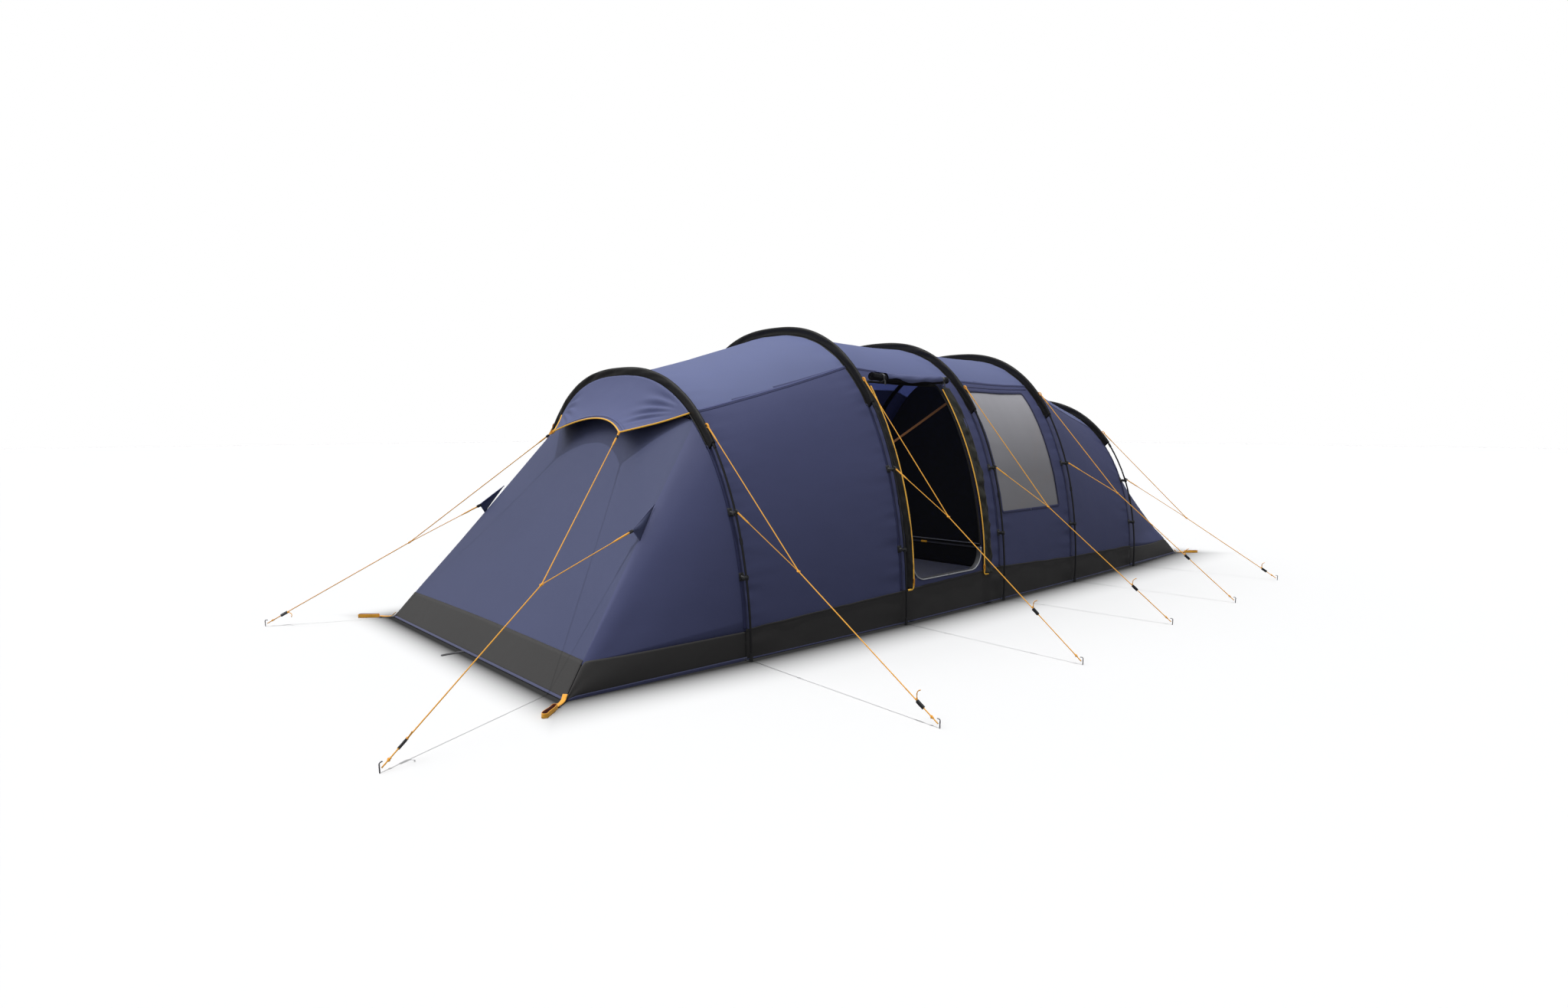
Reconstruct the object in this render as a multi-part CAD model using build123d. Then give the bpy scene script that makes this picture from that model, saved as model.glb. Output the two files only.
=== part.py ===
from build123d import *
import os
from math import asin, cos, degrees, hypot, pi, sin

# A tunnel tent on five arched poles. Millimetres. X is the width, with the door on the +X side,
# Y is the length, with the front at -Y, and Z is up from the ground. The origin is on the ground
# in the middle of the footprint.

# ---------------------------------------------------------------- driving dimensions
ARCH_Y = [-2435, -1085, 105, 1225, 2415]        # planes of the five arches
ARCH_TOP = [1700, 2050, 2010, 1980, 1590]       # crown of each sleeve above the ground
FOOT_HALF = [1310, 1340, 1330, 1310, 1270]      # half the distance between a pole's two feet
WIDTH_POWER, HEIGHT_POWER = 2.5, 2.1            # |x/a|^2.5 + |z/h|^2.1 = 1

END_Y = 3565                                    # front and rear base edges
FRONT_HALF, REAR_HALF = 1230, 1180              # half widths of those two edges
REAR_SAG = 55                                   # how far the rear slope hangs in at its middle
RIDGE_X = 800                                   # where the end wall's side fold meets the arch
FACE_RISE = 110                                 # how far the front wall's upper edge arches up

POLE_R = 6.5
POLE_FIT = 0.6                                  # clearance round a pole in what it passes through
POLE_SECTIONS = 8
FERRULE_R, FERRULE_LENGTH, FERRULE_FIT = 9.3, 36, 1.9
SLEEVE_ABOVE_POLE, SLEEVE_THICK, SLEEVE_WALL = 12, 24, 2
FABRIC_IN_SIDE, FABRIC_IN_TOP = 45, 58          # fabric inside the pole's feet and the crown
SKIN = 3                                        # thickness of every fabric panel's solid

BAND_TOP = [180, 228, 262, 216, 193]            # top of the dark ground band at each arch
SEAM_Z = [1405, 1735, 1685, 1672, 1310]         # seam between roof and side at each arch
SLEEVE_END_Z = [1235, 1490, 1455, 1426, 1172]
CLIP_Z = [840, 1040, 1010, 1010, 810]           # clips that hold the lower guy branch
LOW_CLIP_Z = [480, 510, 520, 500, 420]
BAND_SHARE = 0.877                              # part of the end slope above the ground band

DOOR_Y = (-960, -140)
DOOR_Z = (275, 1630)
DOOR_CORNER_R = 130
WINDOW_Y = (200, 1070)
WINDOW_Z = (672, 1600)

GUY_R, BRANCH_R = 3.0, 2.5
GUY_TOP_Z = [1310, 1620, 1600, 1580, 1240]      # upper attachment on each sleeve
JUNCTION_X = [1730, 1660, 1630, 1620, 1690]     # where the two branches of a guy meet
JUNCTION_Z = [580, 760, 740, 780, 490]
PEG_X = [2680, 2610, 2540, 2560, 2450]
PEG_LEAN = [-70, -10, 150, 100, 190]            # how far each peg is along Y from its arch
PEG_TIE_Z = 14                                  # height of the guy where it meets its peg
RUNNER_FROM_PEG = [130, 390, 330, 470, 120]
HOOD_TIP = (416, -2709, 1288)
HOOD_RISE = 87                                  # how far the hood's front edge arches up
TAB_TIP = (992, -2998, 770)
FRONT_JUNCTION = {1: (1080, -3583, 562), -1: (-1139, -3454, 530)}
FRONT_PEG = {1: (1520, -4507), -1: (-1526, -4292)}
FRONT_RUNNER_FROM_PEG = 130

SIDES = {"right": 1, "left": -1}


# ---------------------------------------------------------------- the tunnel's shape
def between(y, values):
    """A value given at each arch, read in a straight line between two arches."""
    for y0, y1, v0, v1 in zip(ARCH_Y, ARCH_Y[1:], values, values[1:]):
        if y <= y1:
            break
    return v0 + (v1 - v0) * (y - y0) / (y1 - y0)


def arch_xz(half, top, angle):
    """A point of an arch, from angle 0 at the right foot to pi at the left one."""
    x = half * abs(cos(angle)) ** (2 / WIDTH_POWER)
    return (x if cos(angle) > 0 else -x), top * abs(sin(angle)) ** (2 / HEIGHT_POWER)


def angle_at(top, z):
    return asin((z / top) ** (HEIGHT_POWER / 2))


def fabric_size(y, depth=0):
    half = between(y, FOOT_HALF) - FABRIC_IN_SIDE - depth
    return half, between(y, ARCH_TOP) - FABRIC_IN_TOP - depth


def fabric(y, angle, depth=0):
    """The fly at one angle round the tunnel, depth below its outer face."""
    x, z = arch_xz(*fabric_size(y, depth), angle)
    return Vector(x, y, z)


def wall_x(y, z, depth=0):
    half, top = fabric_size(y, depth)
    return arch_xz(half, top, angle_at(top, z))[0]


def arcs(points):
    """A chain of arcs through points, each arc through three of them."""
    return [ThreePointArc(*points[k:k + 3]) for k in range(0, len(points) - 2, 2)]


def steps(start, end, count):
    return [start + (end - start) * k / count for k in range(count + 1)]


def ring_wire(outer, inner):
    """The outline of a thin strip between two curves that run the same way."""
    sides = [Line(outer[-1], inner[-1]), Line(inner[0], outer[0])]
    return Wire(arcs(outer) + arcs(inner) + sides)


def strip(sections):
    """A thin solid through a row of (outer, inner) point lists."""
    return Solid.make_loft([ring_wire(*s) for s in sections], ruled=True)


def side_section(y, z0, z1, side, inset=0):
    top = fabric_size(y)[1]
    angles = [angle_at(top, z) for z in steps(z0, z1, 2)]

    def curve(depth):
        points = [fabric(y, angle, depth) for angle in angles]
        return [Vector(side * p.X, p.Y, p.Z) for p in points]
    return curve(inset), curve(inset + SKIN)


def side_strip(y0, y1, low, high, side, inset=0):
    """One cloth of a side wall. low and high are heights, or lists of one for each arch."""
    def level(z, y):
        return between(y, z) if isinstance(z, list) else z
    ends = [side_section(y, level(low, y), level(high, y), side, inset) for y in (y0, y1)]
    return strip(ends)


def side_panel(y0, y1, low, high, side, cloths=3, inset=0):
    """A side wall from low to high, in cloths one above another."""
    def levels(share):
        return [a + (b - a) * share for a, b in zip(low, high)]
    cuts = [levels(k / cloths) for k in range(cloths + 1)]
    return [side_strip(y0, y1, a, b, side, inset) for a, b in zip(cuts, cuts[1:])]


def roof_panel(y0, y1, cloths=3, inset=0):
    """The roof from seam to seam, in cloths side by side."""
    sections = []
    for y in (y0, y1):
        start = angle_at(fabric_size(y)[1], between(y, SEAM_Z))
        sections.append((y, steps(start, pi - start, 2 * cloths)))
    solids = []
    for k in range(cloths):
        ends = []
        for y, angles in sections:
            part = angles[2 * k:2 * k + 3]
            ends.append(([fabric(y, a, inset) for a in part], [fabric(y, a, inset + SKIN) for a in part]))
        solids.append(strip(ends))
    return solids


# ---------------------------------------------------------------- the two sloping ends
def end_data(front):
    if front:
        return ARCH_Y[0], -END_Y, FRONT_HALF, 0
    return ARCH_Y[-1], END_Y, REAR_HALF, REAR_SAG


def ridge_angle(front):
    half, top = fabric_size(end_data(front)[0])
    return angle_at(top, top * (1 - (RIDGE_X / half) ** WIDTH_POWER) ** (1 / HEIGHT_POWER))


def face_top(front, across, depth):
    """The upper edge of an end wall's face. The front one passes below the hood."""
    ridge = ridge_angle(front)
    if not front:
        return fabric(ARCH_Y[-1], ridge + (pi - 2 * ridge) * across, depth)
    u = 1 - 2 * across
    low = fabric(ARCH_Y[0], ridge).Z
    return Vector(RIDGE_X * u, ARCH_Y[0], low + FACE_RISE * (1 - u * u) - depth)


def slope_point(front, share, start, base):
    """A point part of the way from the end arch to a point (x, z) on the base edge."""
    arch_y, base_y, _, sag = end_data(front)
    hang = 4 * share * (1 - share) * sag
    x = start.X + (base[0] - start.X) * share
    z = start.Z + (base[1] - start.Z) * share
    raised = min(1, z / 300)
    x -= hang * 0.6 * raised * max(-1, min(1, x / RIDGE_X))
    return Vector(x, arch_y + (base_y - arch_y) * share, z - hang * 0.8 * raised)


def face_section(front, share, low, high):
    """The end wall's face at one distance down the slope, from low to high across its width."""
    half = end_data(front)[2] - SKIN - 1

    def curve(depth):
        points = []
        for across in steps(low, high, 2):
            base = (half * (1 - 2 * across), SKIN - depth)
            points.append(slope_point(front, share, face_top(front, across, depth), base))
        bow = (points[1] - (points[0] + points[2]) / 2).length
        if bow < 0.05:
            points[1] = (points[0] + points[2]) / 2 + Vector(0, 0, 0.05)
        return points
    return curve(0), curve(SKIN)


def flank_section(front, share, low, high, side):
    """The triangle between the end arch's leg and the fold, at one distance down the slope."""
    arch_y, _, half, _ = end_data(front)
    ridge = ridge_angle(front)

    def curve(depth):
        points = []
        for up in steps(low, high, 2):
            start = fabric(arch_y, ridge * up, depth)
            point = slope_point(front, share, start, (half - depth, SKIN * up))
            points.append(Vector(side * point.X, point.Y, point.Z))
        if (points[1] - (points[0] + points[2]) / 2).length < 0.05:
            points[1] = (points[0] + points[2]) / 2 + Vector(side * 0.05, 0, 0)
        return points
    return curve(0), curve(SKIN)


def band_share_up(front, share):
    """How far up the flank the ground band reaches at one distance down the slope."""
    arch_y = end_data(front)[0]
    top = fabric_size(arch_y)[1]
    height = min(top * 0.98, between(arch_y, BAND_TOP) * 0.93 / (1 - share))
    return min(0.93, angle_at(top, height) / ridge_angle(front))


def end_wall(front):
    """The blue cloths of one sloping end: three across the face and one on each flank."""
    shares = [0, 0.3, 0.6, BAND_SHARE]
    solids = [
        strip([face_section(front, s, low, low + 1 / 3) for s in shares])
        for low in (0, 1 / 3, 2 / 3)
    ]
    for side in SIDES.values():
        for s0, s1 in zip(shares, shares[1:]):
            cut = [flank_section(front, s, band_share_up(front, s), 1, side) for s in (s0, s1)]
            solids.append(strip(cut))
    return solids


def make_hood_vent():
    """The upright mesh between the front wall's upper edge and the first arch."""
    y = ARCH_Y[0] - 6
    trim = 0.06
    start = ridge_angle(True) + trim
    outer = [fabric(y, a, 6) for a in steps(start, pi - start, 4)]
    reach = outer[0].X / RIDGE_X
    across = steps((1 - reach) / 2, (1 + reach) / 2, 4)
    inner = [face_top(True, a, -1) for a in across]
    points = [[Vector(p.X, y, p.Z) for p in row] for row in (outer, inner)]
    return Solid.extrude(Face(ring_wire(*points)), Vector(0, SKIN, 0))


def end_band(front):
    """The dark ground band of one sloping end, across the face and along both flanks."""
    solids = [strip([face_section(front, s, 0, 1) for s in (BAND_SHARE, 1)])]
    shares = [0, 0.3, 0.6, BAND_SHARE]
    for side in SIDES.values():
        for s0, s1 in zip(shares, shares[1:]):
            cut = [flank_section(front, s, 0, band_share_up(front, s), side) for s in (s0, s1)]
            solids.append(strip(cut))
        tip = [flank_section(front, BAND_SHARE, 0, 1, side), flank_section(front, 1, 0, 1, side)]
        solids.append(strip(tip))
    return solids


# ---------------------------------------------------------------- poles
def pole_arcs(i):
    """The centre line of one pole, an arc for each of its sections, right foot to left foot."""
    half, top = FOOT_HALF[i], ARCH_TOP[i] - SLEEVE_ABOVE_POLE
    start = angle_at(top, 12)
    points = []
    for angle in steps(start, pi - start, 2 * POLE_SECTIONS):
        x, z = arch_xz(half, top, angle)
        points.append(Vector(x, ARCH_Y[i], z))
    return arcs(points)


def pole_at(i, side, z):
    """Centre point and upward direction of a pole's leg at height z."""
    for arc in pole_arcs(i):
        ends = sorted((arc @ 0, arc @ 1), key=lambda p: p.Z)
        if (arc @ 0.5).X * side > 0 and ends[0].Z <= z <= ends[1].Z:
            break
    low, high = (0, 1) if (arc @ 0).Z < (arc @ 1).Z else (1, 0)
    for _ in range(40):
        middle = (low + high) / 2
        if (arc @ middle).Z < z:
            low = middle
        else:
            high = middle
    along = arc % low
    return arc @ low, (along if along.Z > 0 else -along)


def outward(i, side, z):
    """Direction square to the pole, away from the tent, in the plane of the arch."""
    along = pole_at(i, side, z)[1]
    return Vector(side * abs(along.Z), 0, abs(along.X))


def rod(arc, radius):
    return Solid.sweep(Wire([Edge.make_circle(radius, Plane(arc @ 0, z_dir=arc % 0))]), arc)


def rod_between(start, end, radius):
    start, end = Vector(*start), Vector(*end)
    return Solid.make_cylinder(radius, (end - start).length, Plane(start, z_dir=end - start))


def tube_between(start, end, outer, inner):
    return rod_between(start, end, outer) - rod_between(start, end, inner)


def make_ferrules():
    """Metal sleeves over the joints between pole sections."""
    solids = []
    for i in range(5):
        sections = pole_arcs(i)
        for arc in sections[1:]:
            centre, along = arc @ 0, arc % 0
            reach = along * (FERRULE_LENGTH / 2)
            solids.append(tube_between(centre - reach, centre + reach, FERRULE_R, POLE_R + FERRULE_FIT))
    return solids


def make_sleeve(i):
    """A folded fin of cloth over the crown, open inwards, with the pole along its outer edge."""
    half, top = fabric_size(ARCH_Y[i])
    end_angle = angle_at(ARCH_TOP[i], SLEEVE_END_Z[i])
    count = 12
    step = (pi - 2 * end_angle) / count

    def fin(outer_in, inner_out, thick, extra):
        angles = steps(end_angle - extra * step, pi - end_angle + extra * step, count + 2 * extra)
        y = ARCH_Y[i] - thick / 2
        sizes = ((FOOT_HALF[i] + SLEEVE_ABOVE_POLE - outer_in, ARCH_TOP[i] - outer_in),
                 (half + inner_out, top + inner_out))
        curves = []
        for size in sizes:
            curves.append([Vector(x, y, z) for x, z in (arch_xz(*size, a) for a in angles)])
        return Solid.extrude(Face(ring_wire(*curves)), Vector(0, thick, 0))
    return fin(0, 5, SLEEVE_THICK, 0) - fin(SLEEVE_WALL, -5, SLEEVE_THICK - 2 * SLEEVE_WALL, 2)


# ---------------------------------------------------------------- clips, feet and webbing
def make_clips():
    """A ring round each pole leg and a tongue to the fly, at two heights on every leg."""
    ring_r, ring_length, tongue = 11, 30, (20, 4)
    solids = []
    for i in range(5):
        for side in SIDES.values():
            for z in (CLIP_Z[i], LOW_CLIP_Z[i]):
                centre, along = pole_at(i, side, z)
                reach = along * (ring_length / 2)
                solids.append(tube_between(centre - reach, centre + reach, ring_r, POLE_R + POLE_FIT))
                inner_x = wall_x(ARCH_Y[i], z) + 9
                length = abs(centre.X) - ring_r - 2 - inner_x
                at = Location((side * (inner_x + length / 2), ARCH_Y[i], z))
                solids.append(at * Solid.make_box(length, *tongue, Plane((-length / 2, -10, -2))))
    return solids


def make_feet():
    """Cups that stand on the ground and hold the pole ends."""
    cup_r, cup_height, floor = 10, 50, 8
    solids = []
    for i in range(5):
        for side in SIDES.values():
            at = Plane((side * FOOT_HALF[i], ARCH_Y[i], 0))
            cup = Solid.make_cylinder(cup_r, cup_height, at)
            solids.append(cup - Solid.make_cylinder(POLE_R + POLE_FIT, cup_height, at.offset(floor)))
    return solids


def make_foot_straps():
    """Short webbing from the hem of the fly to each pole foot."""
    width, thick, cup_r = 25, 2.5, 10
    solids = []
    for i in range(5):
        start = FOOT_HALF[i] - FABRIC_IN_SIDE + 1
        length = FABRIC_IN_SIDE - cup_r - 2
        for side in SIDES.values():
            corner = (start if side > 0 else -start - length, ARCH_Y[i] - width / 2, 0.5)
            solids.append(Solid.make_box(length, width, thick, Plane(corner)))
    return solids


def corner_places():
    """Position and outward heading of the webbing at the four corners."""
    for base_y, half in ((-END_Y, FRONT_HALF), (END_Y, REAR_HALF)):
        for side in SIDES.values():
            heading = Vector(side * 0.632, 0.775 if base_y > 0 else -0.775, 0)
            yield Plane((side * half, base_y, 0), x_dir=heading, z_dir=(0, 0, 1))


STRAP_WIDTH, STRAP_THICK = 25, 2.5
STRAP_START, LOOP_START, LOOP_LENGTH, LOOP_WIDTH = 8, 95, 150, 34


def make_corner_webbing():
    """At each corner a strap from the hem to a buckle, and a loop beyond it for a peg."""
    solids = []
    for place in corner_places():
        strap_length = LOOP_START - 14 - STRAP_START
        low = place.location * Location((STRAP_START, -STRAP_WIDTH / 2, 6))
        solids.append(low * Solid.make_box(strap_length, STRAP_WIDTH, STRAP_THICK))
        outline = SlotOverall(LOOP_LENGTH, LOOP_WIDTH) - SlotOverall(
            LOOP_LENGTH - 2 * STRAP_THICK, LOOP_WIDTH - 2 * STRAP_THICK
        )
        middle = place.location * Location((LOOP_START + LOOP_LENGTH / 2, 0, 0))
        solids.append(middle * extrude(outline, STRAP_WIDTH).solid())
    return solids


def make_corner_buckles():
    """Flat three-bar slides that join each corner strap to its loop."""
    length, width, thick = 12, 34, 4
    solids = []
    for place in corner_places():
        at = place.location * Location((LOOP_START - 13, -width / 2, 5))
        solids.append(at * Solid.make_box(length, width, thick))
    return solids


def make_front_elastic():
    """An elastic peg loop at the middle of the front hem."""
    length, gap, radius = 120, 16, 3
    y0 = -END_Y - 6
    arms = [
        rod_between((x, y0, radius), (x, y0 - length, radius), radius) for x in (-gap / 2, gap / 2)
    ]
    bow = ThreePointArc((-gap / 2, y0 - length, radius), (0, y0 - length - gap / 2, radius),
                        (gap / 2, y0 - length, radius))
    return arms + [rod(bow, radius)]


# ---------------------------------------------------------------- front hood and tabs
def make_hood():
    """A boxy hood from the first arch to two drawn-out tips."""
    arch_y = ARCH_Y[0] - SLEEVE_THICK / 2 - 1
    tip_x, tip_y, tip_z = HOOD_TIP
    start = ridge_angle(True) + 0.03
    solids = []
    for k in range(3):
        ends = []
        for depth in (0, SKIN):
            angles = steps(start, pi - start, 6)[2 * k:2 * k + 3]
            back = [fabric(ARCH_Y[0], a, depth - 6) for a in angles]
            back = [Vector(p.X, arch_y, p.Z) for p in back]
            across = steps(1, -1, 6)[2 * k:2 * k + 3]
            front = [Vector(tip_x * u, tip_y, tip_z + HOOD_RISE * (1 - u * u) - depth) for u in across]
            ends.append((back, front))
        (back, front), (back_in, front_in) = ends
        solids.append(strip([(back, back_in), (front, front_in)]))
    return solids


def make_tabs():
    """Triangular tabs on the two front folds, each drawn out by a guy."""
    thick = 3
    solids = []
    for side in SIDES.values():
        corners = [(958, -2830, 900), (1006, -2962, 716), TAB_TIP]
        points = [Vector(side * (x + 6), y - 6, z + 6) for x, y, z in corners]
        face = Face(Wire.make_polygon(points))
        solids.append(Solid.extrude(face, face.normal_at() * thick))
    return solids


# ---------------------------------------------------------------- door and window
def opening_surround(y_range, z_range, arch, side=1):
    """A side wall of the bay behind one arch, with an opening: jambs, header and sill."""
    bay = (ARCH_Y[arch], ARCH_Y[arch + 1])
    solids = []
    for y0, y1 in ((bay[0], y_range[0]), (y_range[1], bay[1])):
        solids += side_panel(y0, y1, BAND_TOP, SEAM_Z, side)
    solids.append(side_strip(*y_range, z_range[1], SEAM_Z, side))
    low = side_strip(*y_range, BAND_TOP, z_range[0], side)
    return solids + [low]


def make_door_wall():
    solids = opening_surround(DOOR_Y, DOOR_Z, 1)
    low = DOOR_Z[0]
    for edge, step in ((DOOR_Y[0], DOOR_CORNER_R), (DOOR_Y[1], -DOOR_CORNER_R)):
        square = side_strip(*sorted((edge, edge + step)), low, low + DOOR_CORNER_R, 1)
        round_off = Plane((1000, edge + step, low + DOOR_CORNER_R), z_dir=(1, 0, 0))
        solids.append(square - Solid.make_cylinder(DOOR_CORNER_R - 0.5, 500, round_off))
    return solids


ROLL_R = 32


def roll_ends():
    """Centre line of the rolled-up door, outside the fly above the opening."""
    points = []
    for y in (DOOR_Y[0] + 20, DOOR_Y[1] + 140):
        z = DOOR_Z[1] + 14
        near, far = wall_x(y, z - 20), wall_x(y, z + 20)
        length = hypot(40, near - far)
        out = Vector(40 / length, 0, (near - far) / length)
        points.append(Vector(wall_x(y, z), y, z) + out * (ROLL_R + 6))
    return points


def make_door_roll():
    return rod_between(*roll_ends(), ROLL_R)


def make_roll_straps():
    """Two ties round the rolled door."""
    start, end = roll_ends()
    along = (end - start).normalized()
    solids = []
    for distance in (140, (end - start).length - 90):
        centre = start + along * distance
        solids.append(tube_between(centre - along * 12, centre + along * 12, ROLL_R + 3, ROLL_R + 0.4))
    return solids


ZIP_Y = {"front": DOOR_Y[0] - 14, "rear": DOOR_Y[1] + 14}
ZIP_Z = (250, 1600)
ZIP_STAND_OFF = 20
TRACK_WIDTH, TRACK_THICK = 8, 3
SLIDER_REST_Z = 285


def zip_circle(y):
    """Centre (x, z) and radius of the arc that a zip beside the door follows."""
    heights = steps(*ZIP_Z, 2)
    points = [Vector(wall_x(y, z) + ZIP_STAND_OFF, y, z) for z in heights]
    arc = ThreePointArc(*points)
    return arc.arc_center, arc.radius


def zip_sector(y, radius_in, radius_out, z0, z1, width):
    """A piece of the ring that the zip lies in, between two heights."""
    centre, radius = zip_circle(y)
    a0, a1 = (degrees(asin((z - centre.Z) / radius)) for z in (z0, z1))
    plane = Plane((centre.X, y + width / 2, centre.Z), x_dir=(1, 0, 0), z_dir=(0, -1, 0))
    outline = [
        CenterArc((0, 0), radius + radius_in, a0, a1 - a0),
        CenterArc((0, 0), radius + radius_out, a0, a1 - a0),
    ]
    inner, outer = outline
    joined = Wire([inner, Line(inner @ 1, outer @ 1), outer, Line(outer @ 0, inner @ 0)])
    return Solid.extrude(plane * Face(joined), Vector(0, -width, 0))


def make_zip(y):
    return zip_sector(y, -TRACK_THICK / 2, TRACK_THICK / 2, *ZIP_Z, TRACK_WIDTH)


def make_slider(y):
    """A zip slider that wraps its track, with a pull that hangs from it."""
    z0, z1 = SLIDER_REST_Z - 15, SLIDER_REST_Z + 15
    slot = zip_sector(y, -TRACK_THICK / 2 - 0.5, TRACK_THICK / 2 + 0.5, z0 - 10, z1 + 10, TRACK_WIDTH + 1)
    body = zip_sector(y, -4.5, 4.5, z0, z1, 16) - slot
    pull = zip_sector(y, 4.9, 7.4, z0 - 18, z1 - 6, 8)
    post = zip_sector(y, 4.3, 5.0, z1 - 12, z1 - 8, 6)
    return body + post + pull


# ---------------------------------------------------------------- inside the fly
INNER_INSET, INNER_CANOPY_INSET = 40, 70
REAR_ROOM_Y, FRONT_ROOM_Y = (1200, 2385), (-2405, -1120)


def room_wall(y):
    """The upright wall of a bedroom, filling the tunnel's section."""
    half, top = fabric_size(y, INNER_INSET)
    low = angle_at(top, 8)
    points = [Vector(*arch_xz(half, top, a)) for a in steps(low, pi - low, 16)]
    points = [Vector(p.X, y, p.Y) for p in points]
    outline = Wire(arcs(points) + [Line(points[-1], points[0])])
    return Solid.extrude(Face(outline), Vector(0, SKIN, 0))


def make_room(y_range):
    """A hanging bedroom: a wall at each end and a canopy between them."""
    y0, y1 = y_range
    solids = [room_wall(y0), room_wall(y1)]
    inner = (y0 + SKIN + 0.5, y1 - 0.5)
    solids += roof_panel(*inner, inset=INNER_CANOPY_INSET)
    low = [20] * 5
    for side in SIDES.values():
        solids += side_panel(*inner, low, [z - 80 for z in SEAM_Z], side, inset=INNER_CANOPY_INSET)
    return solids


def make_tension_strap():
    """A webbing brace inside the third arch, from one shoulder to the other side's leg."""
    y, width, thick = ARCH_Y[2], 20, 2
    start, end = Vector(835, y, 1560), Vector(-1190, y, 400)
    plane = Plane(start, x_dir=end - start, z_dir=(0, 1, 0))
    box = Solid.make_box((end - start).length, thick, width, Plane((0, -thick / 2, -width / 2)))
    return plane.location * box


def make_groundsheet():
    """The floor, from hem to hem."""
    inset = SKIN + 6
    right = [(FRONT_HALF - inset - 4, -END_Y + 14)]
    right += [(FOOT_HALF[i] - FABRIC_IN_SIDE - inset, ARCH_Y[i]) for i in range(5)]
    right += [(REAR_HALF - inset - 4, END_Y - 14)]
    outline = right + [(-x, y) for x, y in reversed(right)]
    return extrude(make_face(Polyline(*outline, close=True)), SKIN).solid()


# ---------------------------------------------------------------- guys, runners and pegs
def tied_path(points, bend_r, radius):
    """A taut line with small arcs at its bends, and its length."""
    path = FilletPolyline(*points, radius=bend_r) if len(points) > 2 else Line(*points)
    start = Plane(path @ 0, z_dir=path % 0)
    tube = Solid.sweep(Wire([Edge.make_circle(radius, start)]), path)
    straight = sum((Vector(*b) - Vector(*a)).length for a, b in zip(points, points[1:]))
    print("guy: bend radius", bend_r, "length", round(path.length), "of", round(straight),
          "volume share", round(tube.volume / (pi * radius**2 * path.length), 4))
    return tube


def toward(start, end, distance):
    start, end = Vector(*start), Vector(*end)
    return start + (end - start).normalized() * distance


def side_guy(i, side):
    """Upper end, lower-branch end, junction and peg of one side guy."""
    junction_share = (JUNCTION_X[i] - 1000) / (PEG_X[i] - 1000)
    peg = Vector(side * PEG_X[i], ARCH_Y[i] + PEG_LEAN[i], PEG_TIE_Z)
    junction = Vector(side * JUNCTION_X[i], ARCH_Y[i] + PEG_LEAN[i] * junction_share, JUNCTION_Z[i])
    top = pole_at(i, side, GUY_TOP_Z[i])[0] + outward(i, side, GUY_TOP_Z[i]) * 20
    low = pole_at(i, side, CLIP_Z[i])[0] + outward(i, side, CLIP_Z[i]) * 18
    return top, low, junction, peg


def front_guy(side):
    peg = Vector(*FRONT_PEG[side], PEG_TIE_Z)
    junction = Vector(*FRONT_JUNCTION[side])
    tip = Vector(side * HOOD_TIP[0], HOOD_TIP[1], HOOD_TIP[2])
    tab = Vector(side * TAB_TIP[0], TAB_TIP[1], TAB_TIP[2])
    return toward(tip, junction, 14), toward(tab, junction, 22), junction, peg


def all_guys():
    """Every guy by name: its four points and how far its runner sits from the peg."""
    guys = {}
    for word, side in SIDES.items():
        for i in range(5):
            guys[f"{word}_{i + 1}"] = (*side_guy(i, side), RUNNER_FROM_PEG[i])
        guys[f"front_{word}"] = (*front_guy(side), FRONT_RUNNER_FROM_PEG)
    return guys


def make_guy(top, low, junction, peg, _):
    """The main line from tent to peg, and the lower branch that is tied to it."""
    end = toward(peg, junction, 8)
    main = tied_path([top, junction, end], 60, GUY_R)
    near = toward(junction, low, GUY_R + BRANCH_R + 4)
    return [main, tied_path([low, near], 0, BRANCH_R)]


def make_runner(junction, peg, distance):
    """A slotted tensioner that slides on the lower part of a guy."""
    length, width, thick = 46, 18, 11
    along = (junction - peg).normalized()
    plane = Plane(peg + along * (distance - length / 2), x_dir=Vector(0, 1, 0).cross(along), z_dir=along)
    block = plane.location * Solid.make_box(width, thick, length, Plane((-width / 2, -thick / 2, 0)))
    block = fillet(Part(block.wrapped).edges().filter_by(lambda e: e.length > length - 1), 3)
    bore = rod_between(peg, junction, GUY_R + 0.6)
    second = plane.location * Solid.make_cylinder(2.2, length, Plane((width / 2 - 4.6, 0, 0)))
    return (block - bore - second).solid()


def make_pegs():
    """The bent heads of the guy pegs, above the ground, each one rod with a bend."""
    radius, height, hook, bend = 2.6, 42, 16, 7
    solids = []
    for _, _, junction, peg, _ in all_guys().values():
        away = Vector(peg.X - junction.X, peg.Y - junction.Y, 0).normalized()
        foot = Vector(peg.X, peg.Y, 0) + away * 4
        head = Vector(foot.X, foot.Y, height)
        path = FilletPolyline(foot, head, head - away * hook, radius=bend)
        section = Wire([Edge.make_circle(radius, Plane(foot, z_dir=(0, 0, 1)))])
        solids.append(Solid.sweep(section, path))
    return solids


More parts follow.
